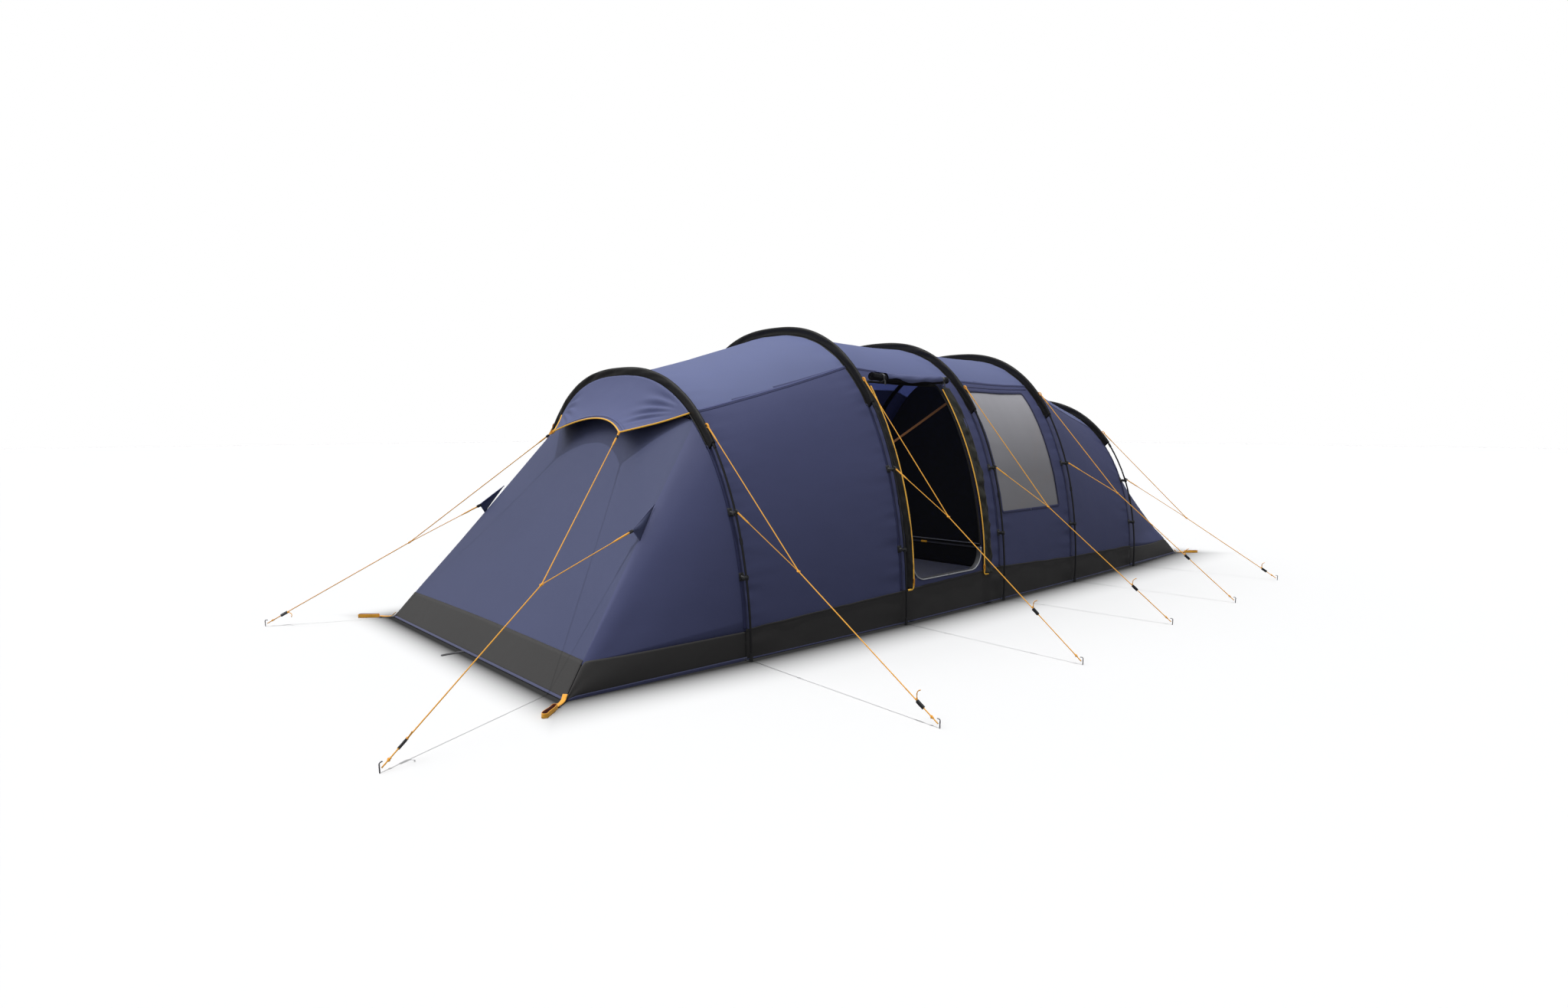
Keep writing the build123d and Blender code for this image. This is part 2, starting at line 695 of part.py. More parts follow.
# ---------------------------------------------------------------- write every node
def nodes():
    for i in range(5):
        yield f"arch_pole_{i + 1}", [rod(arc, POLE_R) for arc in pole_arcs(i)]
        yield f"pole_sleeve_{i + 1}", [make_sleeve(i)]
    yield "pole_ferrules", make_ferrules()
    yield "pole_clips", make_clips()
    yield "pole_feet", make_feet()
    yield "foot_straps", make_foot_straps()

    for bay in range(4):
        ends = (ARCH_Y[bay], ARCH_Y[bay + 1])
        yield f"roof_bay_{bay + 1}", roof_panel(*ends)
        yield f"left_side_bay_{bay + 1}", side_panel(*ends, BAND_TOP, SEAM_Z, -1)
    yield "right_side_bay_1", side_panel(ARCH_Y[0], ARCH_Y[1], BAND_TOP, SEAM_Z, 1)
    yield "right_side_bay_2", make_door_wall()
    yield "right_side_bay_3", opening_surround(WINDOW_Y, WINDOW_Z, 2)
    yield "right_side_bay_4", side_panel(ARCH_Y[3], ARCH_Y[4], BAND_TOP, SEAM_Z, 1)
    yield "window_pane", [side_strip(*WINDOW_Y, *WINDOW_Z, 1)]

    bays = list(zip(ARCH_Y, ARCH_Y[1:]))
    ground = [0] * 5
    yield "ground_band_sides", [
        side_strip(*bay, ground, BAND_TOP, side) for side in SIDES.values() for bay in bays
    ]
    yield "ground_band_ends", end_band(True) + end_band(False)
    yield "front_wall", end_wall(True) + [make_hood_vent()]
    yield "rear_wall", end_wall(False)
    yield "front_hood", make_hood()
    yield "fold_tabs", make_tabs()
    yield "groundsheet", [make_groundsheet()]

    yield "door_roll", [make_door_roll()]
    yield "door_roll_straps", make_roll_straps()
    yield "door_zips", [make_zip(y) for y in ZIP_Y.values()]
    for name, y in ZIP_Y.items():
        yield f"zip_slider_{name}", [make_slider(y)]
        centre, radius = zip_circle(y)
        print("zip", name, "hinge centre", round(centre.X, 2), y, round(centre.Z, 2),
              "radius", round(radius, 2))

    yield "inner_room_rear", make_room(REAR_ROOM_Y)
    yield "inner_room_front", make_room(FRONT_ROOM_Y)
    yield "tension_strap", [make_tension_strap()]

    yield "corner_webbing", make_corner_webbing()
    yield "corner_buckles", make_corner_buckles()
    yield "front_elastic_loop", make_front_elastic()

    guys = all_guys()
    for word in SIDES:
        chosen = [guy for name, guy in guys.items() if word in name]
        yield f"guys_{word}", [solid for guy in chosen for solid in make_guy(*guy)]
    for name, guy in guys.items():
        yield f"runner_{name}", [make_runner(*guy[2:])]
    yield "guy_pegs", make_pegs()


os.makedirs("parts", exist_ok=True)
for name, solids in nodes():
    shape = solids[0] if len(solids) == 1 else Compound(children=[Part(s.wrapped) for s in solids])
    export_step(shape, f"parts/{name}.step")
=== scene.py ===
from math import asin, atan2, cos, exp, hypot, pi, radians, sin

import bpy
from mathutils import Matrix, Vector, noise


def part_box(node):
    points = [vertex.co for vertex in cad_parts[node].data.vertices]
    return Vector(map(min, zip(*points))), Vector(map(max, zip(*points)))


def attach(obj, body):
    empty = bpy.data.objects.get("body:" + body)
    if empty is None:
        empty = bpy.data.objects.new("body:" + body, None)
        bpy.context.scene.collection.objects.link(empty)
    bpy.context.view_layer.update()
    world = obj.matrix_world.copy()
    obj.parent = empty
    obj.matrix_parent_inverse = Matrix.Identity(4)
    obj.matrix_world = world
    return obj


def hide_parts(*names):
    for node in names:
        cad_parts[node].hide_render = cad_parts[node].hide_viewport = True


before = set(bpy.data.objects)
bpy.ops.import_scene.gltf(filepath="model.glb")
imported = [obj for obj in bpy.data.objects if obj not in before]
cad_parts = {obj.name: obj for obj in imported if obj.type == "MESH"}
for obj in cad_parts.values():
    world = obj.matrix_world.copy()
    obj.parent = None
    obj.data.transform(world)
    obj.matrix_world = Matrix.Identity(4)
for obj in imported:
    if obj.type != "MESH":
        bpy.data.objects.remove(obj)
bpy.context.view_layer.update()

# A tunnel tent on five arched poles. Metres. X is the width, with the door on the +X side, Y is the
# length, with the front at -Y, and Z is up from the ground. Everything rides on the body "tent",
# apart from the runners on the guys, with their knots and tails, and the two zip sliders.
TENT = "tent"
UP, LENGTHWISE = Vector((0, 0, 1)), Vector((0, 1, 0))
SIDES = {"right": 1, "left": -1}
ARCHES = range(5)

# ---------------------------------------------------------------- the tunnel's shape
POLE_R = 0.0065
ARCH_Y = [sum(corner[1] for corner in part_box(f"arch_pole_{n + 1}")) / 2 for n in ARCHES]
ARCH_TOP = [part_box(f"pole_sleeve_{n + 1}")[1][2] for n in ARCHES]
FOOT_HALF = [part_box(f"arch_pole_{n + 1}")[1][0] - POLE_R for n in ARCHES]
WIDTH_POWER, HEIGHT_POWER = 2.5, 2.1             # an arch is a superellipse with these powers
FABRIC_IN_SIDE, FABRIC_IN_TOP = 0.045, 0.058     # from the outside of the sleeves to the fly
END_Y = 3.565                                    # hems of the two sloping ends
FRONT_HALF, REAR_HALF = 1.23, 1.18               # half the widths of those hems
REAR_SAG = 0.055
RIDGE_X = 0.80                                   # where the folds of the ends start on the end arches
FACE_RISE = 0.11                                 # the bow of the front face's upper edge
BAND_SHARE = 0.877                               # where the ground band starts, down an end's slope
CLOTH = 0.0012
# At each arch: the top of the ground band, the roof seam and the sleeve's ends. Then each bay's sag.
BAND_TOP = (0.180, 0.228, 0.262, 0.216, 0.193)
SEAM_Z = (1.405, 1.735, 1.685, 1.672, 1.310)
SLEEVE_END_Z = (1.235, 1.490, 1.455, 1.426, 1.172)
BAY_SAG = (0.020, 0.013, 0.013, 0.017)
# The fly's folds: how far from an arch its pull, its gathers and its flat seam reach into the bay, and
# the depths of the pull folds, the gathers, the wide waves and the creases.
PULL_REACH, GATHER_REACH, SEAM_REACH = 0.16, 0.09, 0.03
PULL_DEPTH, GATHER_DEPTH, WAVE_DEPTH, CREASE_DEPTH = 0.0060, 0.0065, 0.0060, 0.0016
GATHER_TOP, GATHER_FADE = 0.92, 0.25             # the gathers fade out towards the roof


def between(y, values):
    """A value given at each arch, read in a straight line between two arches."""
    for y0, y1, v0, v1 in zip(ARCH_Y, ARCH_Y[1:], values, values[1:]):
        if y <= y1:
            break
    return v0 + (v1 - v0) * (y - y0) / (y1 - y0)


def mix(a, b, share):
    return a + (b - a) * share


def steps(start, end, count):
    return [start + (end - start) * k / count for k in range(count + 1)]


def smooth(value):
    value = min(1.0, max(0.0, value))
    return value * value * (3 - 2 * value)


def arch_xz(half, top, angle):
    """A point of an arch, from angle 0 at the right foot to pi at the left one."""
    x = half * abs(cos(angle)) ** (2 / WIDTH_POWER)
    return (x if cos(angle) > 0 else -x), top * abs(sin(angle)) ** (2 / HEIGHT_POWER)


def angle_at(top, z):
    return asin(min(1.0, max(0.0, z / top)) ** (HEIGHT_POWER / 2))


def wall_angle(y, z):
    """The angle of the fly's right wall at a height."""
    return angle_at(fabric_size(y)[1], z)


def fabric_size(y, depth=0.0):
    """Half the fly's width and its height at y, less a depth."""
    half = between(y, FOOT_HALF) - FABRIC_IN_SIDE - depth
    return half, between(y, ARCH_TOP) - FABRIC_IN_TOP - depth


def square_out(y, angle):
    """Direction square to the tunnel's surface, outwards, in the plane of an arch."""
    half, top = fabric_size(y)
    x, z = arch_xz(half, top, angle)
    across = WIDTH_POWER / half * abs(x / half) ** (WIDTH_POWER - 1)
    up = HEIGHT_POWER / top * abs(z / top) ** (HEIGHT_POWER - 1)
    return Vector((across if x > 0 else -across, 0, up)).normalized()


def ripple(point, seed=0.0):
    """Smooth repeatable noise from -1 to 1."""
    return noise.noise(Vector((point[0], point[1], point[2] + seed)))


def bay_share(y):
    """The bay that y is in, and how far along the bay it is."""
    for bay in range(4):
        if y <= ARCH_Y[bay + 1] or bay == 3:
            return bay, (y - ARCH_Y[bay]) / (ARCH_Y[bay + 1] - ARCH_Y[bay])


def fly(y, angle, out=0.0):
    """The fly's outer face, with its sag between two arches and the folds that its pull makes."""
    bay, share = bay_share(y)
    from_arch = min(share, 1 - share) * (ARCH_Y[bay + 1] - ARCH_Y[bay])
    height = sin(angle)
    sag = BAY_SAG[bay] * 4 * share * (1 - share) * height ** 0.5
    pull = exp(-from_arch / PULL_REACH)
    gather = exp(-from_arch / GATHER_REACH) * smooth((GATHER_TOP - height) / GATHER_FADE + 0.25)
    run = angle * 1.6                            # about the metres round the arch
    folds = PULL_DEPTH * pull * ripple((run * 11 + y * 3, y * 2.2, bay), 3.0)
    folds += GATHER_DEPTH * gather * ripple((run * 21, y * 2.5, bay), 5.0)
    folds += WAVE_DEPTH * height * ripple((run * 2.4, y * 1.7, bay), 9.0)
    folds += CREASE_DEPTH * ripple((run * 2.0, y * 9.0, bay), 13.0)
    x, z = arch_xz(*fabric_size(y), angle)
    lift = out - sag + folds * smooth(from_arch / SEAM_REACH)
    return Vector((x, y, z)) + square_out(y, angle) * lift


def fly_at(y, z, side=1, out=0.0):
    """A point of a side wall at a height."""
    angle = wall_angle(y, z)
    return fly(y, angle if side > 0 else pi - angle, out)


def even_angles(count):
    """Angles from 0 to pi that cut a middling arch into equal lengths."""
    half, top = fabric_size(ARCH_Y[2])
    fine = steps(0, pi, 3000)
    points = [arch_xz(half, top, a) for a in fine]
    runs = [0.0]
    for (x0, z0), (x1, z1) in zip(points, points[1:]):
        runs.append(runs[-1] + hypot(x1 - x0, z1 - z0))
    angles, k = [], 0
    for wanted in steps(0, runs[-1], count):
        while k < len(runs) - 2 and runs[k + 1] < wanted:
            k += 1
        part = (wanted - runs[k]) / max(runs[k + 1] - runs[k], 1e-9)
        angles.append(mix(fine[k], fine[k + 1], part))
    return angles


# ---------------------------------------------------------------- meshes
ODD_UP = Vector((0.13, 0.21, 0.97))     # no path here runs along it


def place_object(name, data):
    made = bpy.data.objects.new(name, data)
    bpy.context.scene.collection.objects.link(made)
    return made


def new_object(name, points, faces, material, smooth_faces=True):
    mesh = bpy.data.meshes.new(name)
    mesh.from_pydata([tuple(p) for p in points], [], faces)
    mesh.materials.append(material)
    mesh.polygons.foreach_set("use_smooth", [smooth_faces] * len(mesh.polygons))
    mesh.update()
    return place_object(name, mesh)


def quads(count, wide, closed=False, keep=None):
    """Faces through count rows of wide points. closed joins the last column to the first."""
    faces = []
    for r in range(count - 1):
        for c in range(wide if closed else wide - 1):
            if keep is None or keep(r, c):
                d = (c + 1) % wide
                faces.append((r * wide + c, r * wide + d, (r + 1) * wide + d, (r + 1) * wide + c))
    return faces


def grid(name, rows, material, keep=None, closed=False):
    """A sheet through rows of points, without the points that no face uses."""
    points = [p for row in rows for p in row]
    faces = quads(len(rows), len(rows[0]), closed, keep)
    if keep:
        used = sorted({v for face in faces for v in face})
        order = {old: new for new, old in enumerate(used)}
        points = [points[v] for v in used]
        faces = [tuple(order[v] for v in face) for face in faces]
    return new_object(name, points, faces, material)


def surface(us, vs, place):
    """Rows of points, place(u, v) for every pair."""
    return [[place(u, v) for v in vs] for u in us]


def thicken(made, thickness=CLOTH, offset=-1.0):
    """Gives a sheet its thickness. offset -1 grows it against its faces' own direction."""
    solid = made.modifiers.new("thickness", "SOLIDIFY")
    solid.thickness, solid.offset = thickness, offset
    return made


def frames_along(path, up):
    """Each point of a path with its direction, side and up."""
    out = []
    for k, p in enumerate(path):
        along = (path[min(k + 1, len(path) - 1)] - path[max(k - 1, 0)]).normalized()
        side = along.cross(up).normalized()
        out.append((p, along, side, side.cross(along).normalized()))
    return out


def tube(name, path, radius, material, sides=8, up=ODD_UP, shape=None):
    """A closed tube along a path. shape(share, turn) scales the radius."""
    rings = []
    for k, (p, _, side, over) in enumerate(frames_along(path, up)):
        ring = []
        for n in range(sides):
            turn = 2 * pi * n / sides
            size = radius * (shape(k / (len(path) - 1), turn) if shape else 1.0)
            ring.append(p + side * cos(turn) * size + over * sin(turn) * size)
        rings.append(ring)
    points = [p for ring in rings for p in ring]
    faces = quads(len(rings), sides, True)
    faces.append(tuple(reversed(range(sides))))
    faces.append(tuple(range((len(rings) - 1) * sides, len(rings) * sides)))
    return new_object(name, points, faces, material)


def ribbon(name, path, width, material, up, thickness=0.0014, crown=0.0004):
    """A flat tape along a path, up being the way its face looks."""
    rows = []
    for p, _, side, over in frames_along(path, up):
        shares = steps(-1, 1, 4)
        rows.append([p + side * (s * width / 2) + over * (crown * (1 - s * s)) for s in shares])
    return thicken(grid(name, rows, material), thickness, 0.0)


def on_tent(made, slot, *nodes):
    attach(made, TENT)
    if nodes:
        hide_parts(*nodes)
    return made


def cloth(name, rows, material, slot, *nodes, thickness=CLOTH, offset=0.0):
    """A sheet of cloth on the tent, with its thickness."""
    return on_tent(thicken(grid(name, rows, material), thickness, offset), slot, *nodes)


# ---------------------------------------------------------------- materials
def new_material(name):
    material = bpy.data.materials.new(name)
    material.use_nodes = True
    tree = material.node_tree
    return material, tree, tree.nodes["Principled BSDF"], tree.nodes["Material Output"]


def node(tree, kind, **settings):
    made = tree.nodes.new(kind)
    for key, value in settings.items():
        if key in made.inputs:
            made.inputs[key].default_value = value
        else:
            setattr(made, key, value)
    return made


def math_node(tree, operation, a, b):
    made = tree.nodes.new("ShaderNodeMath")
    made.operation = operation
    for socket, value in zip(made.inputs, (a, b)):
        if hasattr(value, "links"):
            tree.links.new(value, socket)
        else:
            socket.default_value = value
    return made.outputs[0]


def stretched(tree, scale):
    """Object coordinates, stretched."""
    place = tree.nodes.new("ShaderNodeTexCoord")
    mapping = tree.nodes.new("ShaderNodeMapping")
    mapping.inputs["Scale"].default_value = scale
    tree.links.new(place.outputs["Object"], mapping.inputs["Vector"])
    return mapping.outputs["Vector"]


def noise_at(tree, scale, size=(1, 1, 1), detail=3.0, roughness=0.55):
    made = node(tree, "ShaderNodeTexNoise", Scale=scale, Detail=detail, Roughness=roughness)
    tree.links.new(stretched(tree, size), made.inputs["Vector"])
    return made.outputs["Fac"]


def threads(tree, per_metre):
    """Crossing threads of a plain weave, as a height from 0 to 1."""
    place = stretched(tree, (1, 1, 1))
    waves = []
    for direction in ("X", "Y", "Z"):
        wave = node(tree, "ShaderNodeTexWave", Scale=per_metre / 3.2, bands_direction=direction)
        tree.links.new(place, wave.inputs["Vector"])
        waves.append(wave.outputs["Fac"])
    both = math_node(tree, "ADD", waves[0], waves[1])
    return math_node(tree, "MULTIPLY", math_node(tree, "ADD", both, waves[2]), 0.33)


def ramp(tree, value, to_range, from_range=(0.0, 1.0)):
    """A value carried over from one range to another."""
    made = node(tree, "ShaderNodeMapRange")
    tree.links.new(value, made.inputs["Value"])
    made.inputs["From Min"].default_value, made.inputs["From Max"].default_value = from_range
    made.inputs["To Min"].default_value, made.inputs["To Max"].default_value = to_range
    return made.outputs["Result"]


def colour_mix(tree, fac, first, second):
    blend = tree.nodes.new("ShaderNodeMix")
    blend.data_type = "RGBA"
    tree.links.new(fac, blend.inputs["Factor"])
    blend.inputs["A"].default_value = (*first, 1)
    blend.inputs["B"].default_value = (*second, 1)
    return blend.outputs["Result"]


def shade_by(tree, fac, colour, low, high):
    """A colour between two brightnesses of itself, chosen by fac."""
    return colour_mix(tree, fac, [c * low for c in colour], [min(1, c * high) for c in colour])


def shader_mix(tree, fac, first, second, end):
    """Two shaders mixed by a number or a socket, into the material's or world's output."""
    both = node(tree, "ShaderNodeMixShader")
    if hasattr(fac, "links"):
        tree.links.new(fac, both.inputs["Fac"])
    else:
        both.inputs["Fac"].default_value = fac
    tree.links.new(first.outputs[0], both.inputs[1])
    tree.links.new(second.outputs[0], both.inputs[2])
    tree.links.new(both.outputs["Shader"], end.inputs["Surface"])


def camera_ray(tree):
    return node(tree, "ShaderNodeLightPath").outputs["Is Camera Ray"]


def bump(tree, height, distance, strength=1.0, under=None):
    made = node(tree, "ShaderNodeBump", Distance=distance, Strength=strength)
    tree.links.new(height, made.inputs["Height"])
    if under is not None:
        tree.links.new(under, made.inputs["Normal"])
    return made.outputs["Normal"]


def cloth_material(name, colour, roughness=0.6, sheen=0.1, through=0.0, folds=0.003, fold_size=7.0,
                   weave=900, weave_depth=0.00025, pull=(1, 1, 1)):
    """Woven cloth. through is the share of light that it passes, folds the depth of its creases."""
    material, tree, shader, output = new_material(name)
    wide = noise_at(tree, 1.1, detail=2.0)
    tree.links.new(shade_by(tree, wide, colour, 0.92, 1.08), shader.inputs["Base Color"])
    creases = noise_at(tree, fold_size, pull, detail=4.0, roughness=0.5)
    normal = bump(tree, creases, folds, 0.6)
    normal = bump(tree, threads(tree, weave), weave_depth, 0.5, normal)
    tree.links.new(normal, shader.inputs["Normal"])
    rough = ramp(tree, noise_at(tree, 3.0), (roughness - 0.05, roughness + 0.05))
    tree.links.new(rough, shader.inputs["Roughness"])
    shader.inputs["Sheen Weight"].default_value = sheen
    shader.inputs["Sheen Roughness"].default_value = 0.5
    shader.inputs["Specular IOR Level"].default_value = 0.22
    if through:
        passing = node(tree, "ShaderNodeBsdfTranslucent")
        passing.inputs["Color"].default_value = (*[min(1, c * 2.2) for c in colour], 1)
        shader_mix(tree, through, shader, passing, output)
    return material


def hard_material(name, colour, roughness=0.4, metallic=0.0, coat=0.0):
    """Moulded plastic, glass fibre or metal with a fine grain and slight wear."""
    material, tree, shader, _ = new_material(name)
    wear = noise_at(tree, 60, detail=5.0)
    tree.links.new(shade_by(tree, wear, colour, 0.8, 1.25), shader.inputs["Base Color"])
    tree.links.new(bump(tree, noise_at(tree, 400), 0.0002, 0.5), shader.inputs["Normal"])
    rough = ramp(tree, wear, (roughness - 0.08, roughness + 0.08))
    tree.links.new(rough, shader.inputs["Roughness"])
    shader.inputs["Metallic"].default_value = metallic
    shader.inputs["Coat Weight"].default_value = coat
    return material


def twist_material(name, colour, dark, per_metre=160, painted_glow=0.0):
    """Braid or webbing: slanting strands in two tones. Any emission is painted light; the braid is no lamp.
    """
    material, tree, shader, _ = new_material(name)
    wave = node(tree, "ShaderNodeTexWave", Scale=per_metre, bands_direction="DIAGONAL", Distortion=0.6)
    tree.links.new(stretched(tree, (1, 1, 1)), wave.inputs["Vector"])
    tree.links.new(colour_mix(tree, wave.outputs["Fac"], dark, colour), shader.inputs["Base Color"])
    tree.links.new(bump(tree, wave.outputs["Fac"], 0.0005, 0.6), shader.inputs["Normal"])
    shader.inputs["Roughness"].default_value = 0.7
    shader.inputs["Sheen Weight"].default_value = 0.2
    if painted_glow:
        shader.inputs["Emission Color"].default_value = (*colour, 1)
        shader.inputs["Emission Strength"].default_value = painted_glow
    return material


# The roof, side and front cloths are copies of one navy fabric. The roof's copy is painted about twice as
# bright, painted light from above; the walls' darker copies are painted shade.
ROOF = cloth_material("roof_cloth_painted_light", (0.222, 0.256, 0.450), 0.52, 0.05, through=0.30, pull=(1, 0.35, 1))
SIDE = cloth_material("side_cloth_painted_shade", (0.092, 0.104, 0.225), 0.52, 0.03, through=0.12, folds=0.006,
                      fold_size=5, pull=(1, 0.5, 0.8))
FRONT = cloth_material("front_cloth_painted_shade", (0.088, 0.102, 0.200), 0.55, 0.05, through=0.15, pull=(0.6, 1, 1))
BAND = cloth_material("band_cloth", (0.052, 0.050, 0.049), 0.62, 0.03, folds=0.004, fold_size=9)
SLEEVE = cloth_material("sleeve_cloth", (0.019, 0.018, 0.017), 0.48, 0.05, folds=0.003, fold_size=9)
INNER = cloth_material("inner_cloth", (0.026, 0.026, 0.029), 0.75, 0.05, folds=0.01, fold_size=3)
FLOOR_CLOTH = cloth_material("floor_cloth", (0.52, 0.52, 0.53), 0.45, 0.0, folds=0.004, fold_size=5)
# The orange braids and webbing carry a faint emission: painted light, as they are no lamps.
PIPING = twist_material("orange_piping", (1.0, 0.58, 0.060), (0.92, 0.42, 0.03), 220, painted_glow=0.16)
GUY = twist_material("guy_braid", (1.0, 0.50, 0.050), (0.88, 0.36, 0.03), 260, painted_glow=0.12)
ORANGE_WEB = twist_material("orange_webbing", (1.0, 0.50, 0.045), (0.90, 0.36, 0.03), 300, painted_glow=0.10)
GREY_WEB = twist_material("grey_webbing", (0.16, 0.16, 0.17), (0.08, 0.08, 0.09), 300)
DARK_WEB = twist_material("dark_webbing", (0.014, 0.014, 0.015), (0.006, 0.006, 0.007), 300)
HEM_BLUE = twist_material("hem_binding", (0.065, 0.075, 0.175), (0.045, 0.052, 0.13), 260)
# The hood's copy of the navy fabric is painted lighter than the front's: painted light from above.
HOOD = cloth_material("hood_cloth_painted_light", (0.126, 0.146, 0.300), 0.55, 0.05, through=0.12, folds=0.004,
                      fold_size=9)
# The seam tapes come in tones that follow the painted light of their panels: lighter on the roof, darker on
# the sides.
ROOF_SEAM = cloth_material("roof_seam", (0.100, 0.116, 0.265), 0.55, 0.1, folds=0.002, fold_size=40)
SIDE_SEAM = cloth_material("side_seam", (0.038, 0.044, 0.120), 0.55, 0.1, folds=0.003, fold_size=40)
FRONT_SEAM = cloth_material("front_seam", (0.088, 0.098, 0.205), 0.55, 0.1, folds=0.002, fold_size=40)
MESH_CLOTH = cloth_material("vent_mesh", (0.006, 0.007, 0.014), 0.7, 0.0, folds=0.002, weave=300,
                            weave_depth=0.001)
DOOR_CLOTH = cloth_material("door_cloth", (0.006, 0.006, 0.009), 0.6, 0.02, folds=0.004, fold_size=14)
CURTAIN = cloth_material("curtain_cloth", (0.038, 0.038, 0.031), 0.5, 0.05, folds=0.004, fold_size=12)
PALE_SHEET = cloth_material("pale_sheet", (0.42, 0.43, 0.44), 0.5, 0.0, folds=0.002, fold_size=20)
# A dark copy of the pale groundsheet, for the sill's lip inside the door: painted shade.
SHADED_LIP_SHEET = cloth_material("lip_sheet_painted_shade", (0.06, 0.06, 0.063), 0.5, 0.0, folds=0.002, fold_size=20)
# A darker, redder copy of the orange webbing: painted shade for the inside of the corner loops.
LOOP_SHADE_WEB = twist_material("webbing_inside_painted_shade", (0.30, 0.05, 0.012), (0.16, 0.03, 0.010), 300)
BRACE_WEB = twist_material("brace_webbing", (0.62, 0.25, 0.06), (0.42, 0.16, 0.04), 300)
POLE = hard_material("pole_fibre", (0.007, 0.007, 0.008), 0.42, coat=0.1)
STEEL = hard_material("plated_steel", (0.30, 0.30, 0.31), 0.35, 1.0)
FERRULE = hard_material("ferrule_steel", (0.05, 0.05, 0.052), 0.35, 0.9)
PLASTIC = hard_material("black_nylon", (0.02, 0.02, 0.022), 0.45)
ORANGE_HARD = hard_material("orange_nylon", (0.85, 0.36, 0.03), 0.4)
BUCKLE = hard_material("grey_nylon", (0.12, 0.13, 0.17), 0.45)
ELASTIC = twist_material("elastic_braid", (0.20, 0.20, 0.21), (0.08, 0.08, 0.085), 260)


def window_material():
    """Soft tinted film: a smoky sheet that passes a little light, painted lighter towards its top as a
    painted reflection.
    """
    material, tree, shader, _ = new_material("window_film")
    place = node(tree, "ShaderNodeTexCoord")
    split = node(tree, "ShaderNodeSeparateXYZ")
    tree.links.new(place.outputs["Object"], split.inputs["Vector"])
    # Painted reflection: the film is painted lighter towards its top and darker towards its foot.
    painted_light_rise = ramp(tree, split.outputs["Z"], (0.0, 1.0), (0.95, 1.60))
    wave = noise_at(tree, 1.4, (1, 1, 0.4), detail=1.0)
    painted_light_tone = math_node(tree, "ADD", math_node(tree, "MULTIPLY", wave, 0.15), painted_light_rise)
    tree.links.new(shade_by(tree, painted_light_tone, (0.27, 0.265, 0.285), 0.90, 1.85), shader.inputs["Base Color"])
    tree.links.new(bump(tree, noise_at(tree, 4.0), 0.004, 0.35), shader.inputs["Normal"])
    shader.inputs["Roughness"].default_value = 0.22
    shader.inputs["Coat Weight"].default_value = 0.5
    shader.inputs["Coat Roughness"].default_value = 0.12
    return material


WINDOW = window_material()

# ---------------------------------------------------------------- camera, floor and lights
CAMERA_AT = Vector((4.8300, -5.4354, 1.3321))
CAMERA_TURN, CAMERA_DIP = radians(47.785), radians(9.308)
CAMERA_LENS, CAMERA_SHIFT = 19.218, (0.00494, 0.03715)


def make_camera():
    data = bpy.data.cameras.new("camera")
    data.lens, data.sensor_width = CAMERA_LENS, 36
    data.shift_x, data.shift_y = CAMERA_SHIFT
    data.clip_end = 200
    made = place_object("camera", data)
    made.rotation_euler = (pi / 2 - CAMERA_DIP, 0, CAMERA_TURN)
    made.location = CAMERA_AT
    bpy.context.scene.camera = made


# How far out the shadow of each straight hem reaches, from the front round to the rear.
SHADE_REACH = (0.27, 0.44, 0.45, 0.45, 0.47, 0.54, 0.57, 0.57)
FLOOR_HALF, FLOOR_PALE = 60, 0.59
OVERHEAD = (0.02, -0.03, 1.0)


def hem_planes():
    """Each hem's outward normal and its distance from the origin, on the side where x is positive."""
    spots = [(FRONT_HALF, -END_Y)] + list(zip(FOOT_HALF, ARCH_Y)) + [(REAR_HALF, END_Y)]
    planes = [(0.0, -1.0, END_Y + 0.035)]
    for (x0, y0), (x1, y1) in zip(spots, spots[1:]):
        length = hypot(x1 - x0, y1 - y0)
        across, along = (y1 - y0) / length, (x0 - x1) / length
        planes.append((across, along, across * x0 + along * y0))
    return planes + [(0.0, 1.0, END_Y)]


def contact_shade(tree):
    """0.05 at the hem, rising to 1 where the tent's soft shadow ends."""
    place = node(tree, "ShaderNodeTexCoord")
    either = node(tree, "ShaderNodeVectorMath", operation="ABSOLUTE")
    tree.links.new(place.outputs["Object"], either.inputs[0])
    split, plain_split = node(tree, "ShaderNodeSeparateXYZ"), node(tree, "ShaderNodeSeparateXYZ")
    tree.links.new(either.outputs["Vector"], split.inputs["Vector"])
    tree.links.new(place.outputs["Object"], plain_split.inputs["Vector"])
    far = None
    for (across, along, distance), reach in zip(hem_planes(), SHADE_REACH):
        part = math_node(tree, "MULTIPLY", split.outputs["X"], across / reach)
        whole = math_node(tree, "MULTIPLY_ADD", plain_split.outputs["Y"], along / reach)
        tree.links.new(part, whole.node.inputs[2])
        here = math_node(tree, "SUBTRACT", whole, distance / reach)
        far = here if far is None else math_node(tree, "MAXIMUM", far, here)
    near = math_node(tree, "SUBTRACT", 1.0, far)
    near.node.use_clamp = True
    dark = math_node(tree, "MULTIPLY", math_node(tree, "POWER", near, 2.0), 0.95)
    return math_node(tree, "SUBTRACT", 1.0, dark)


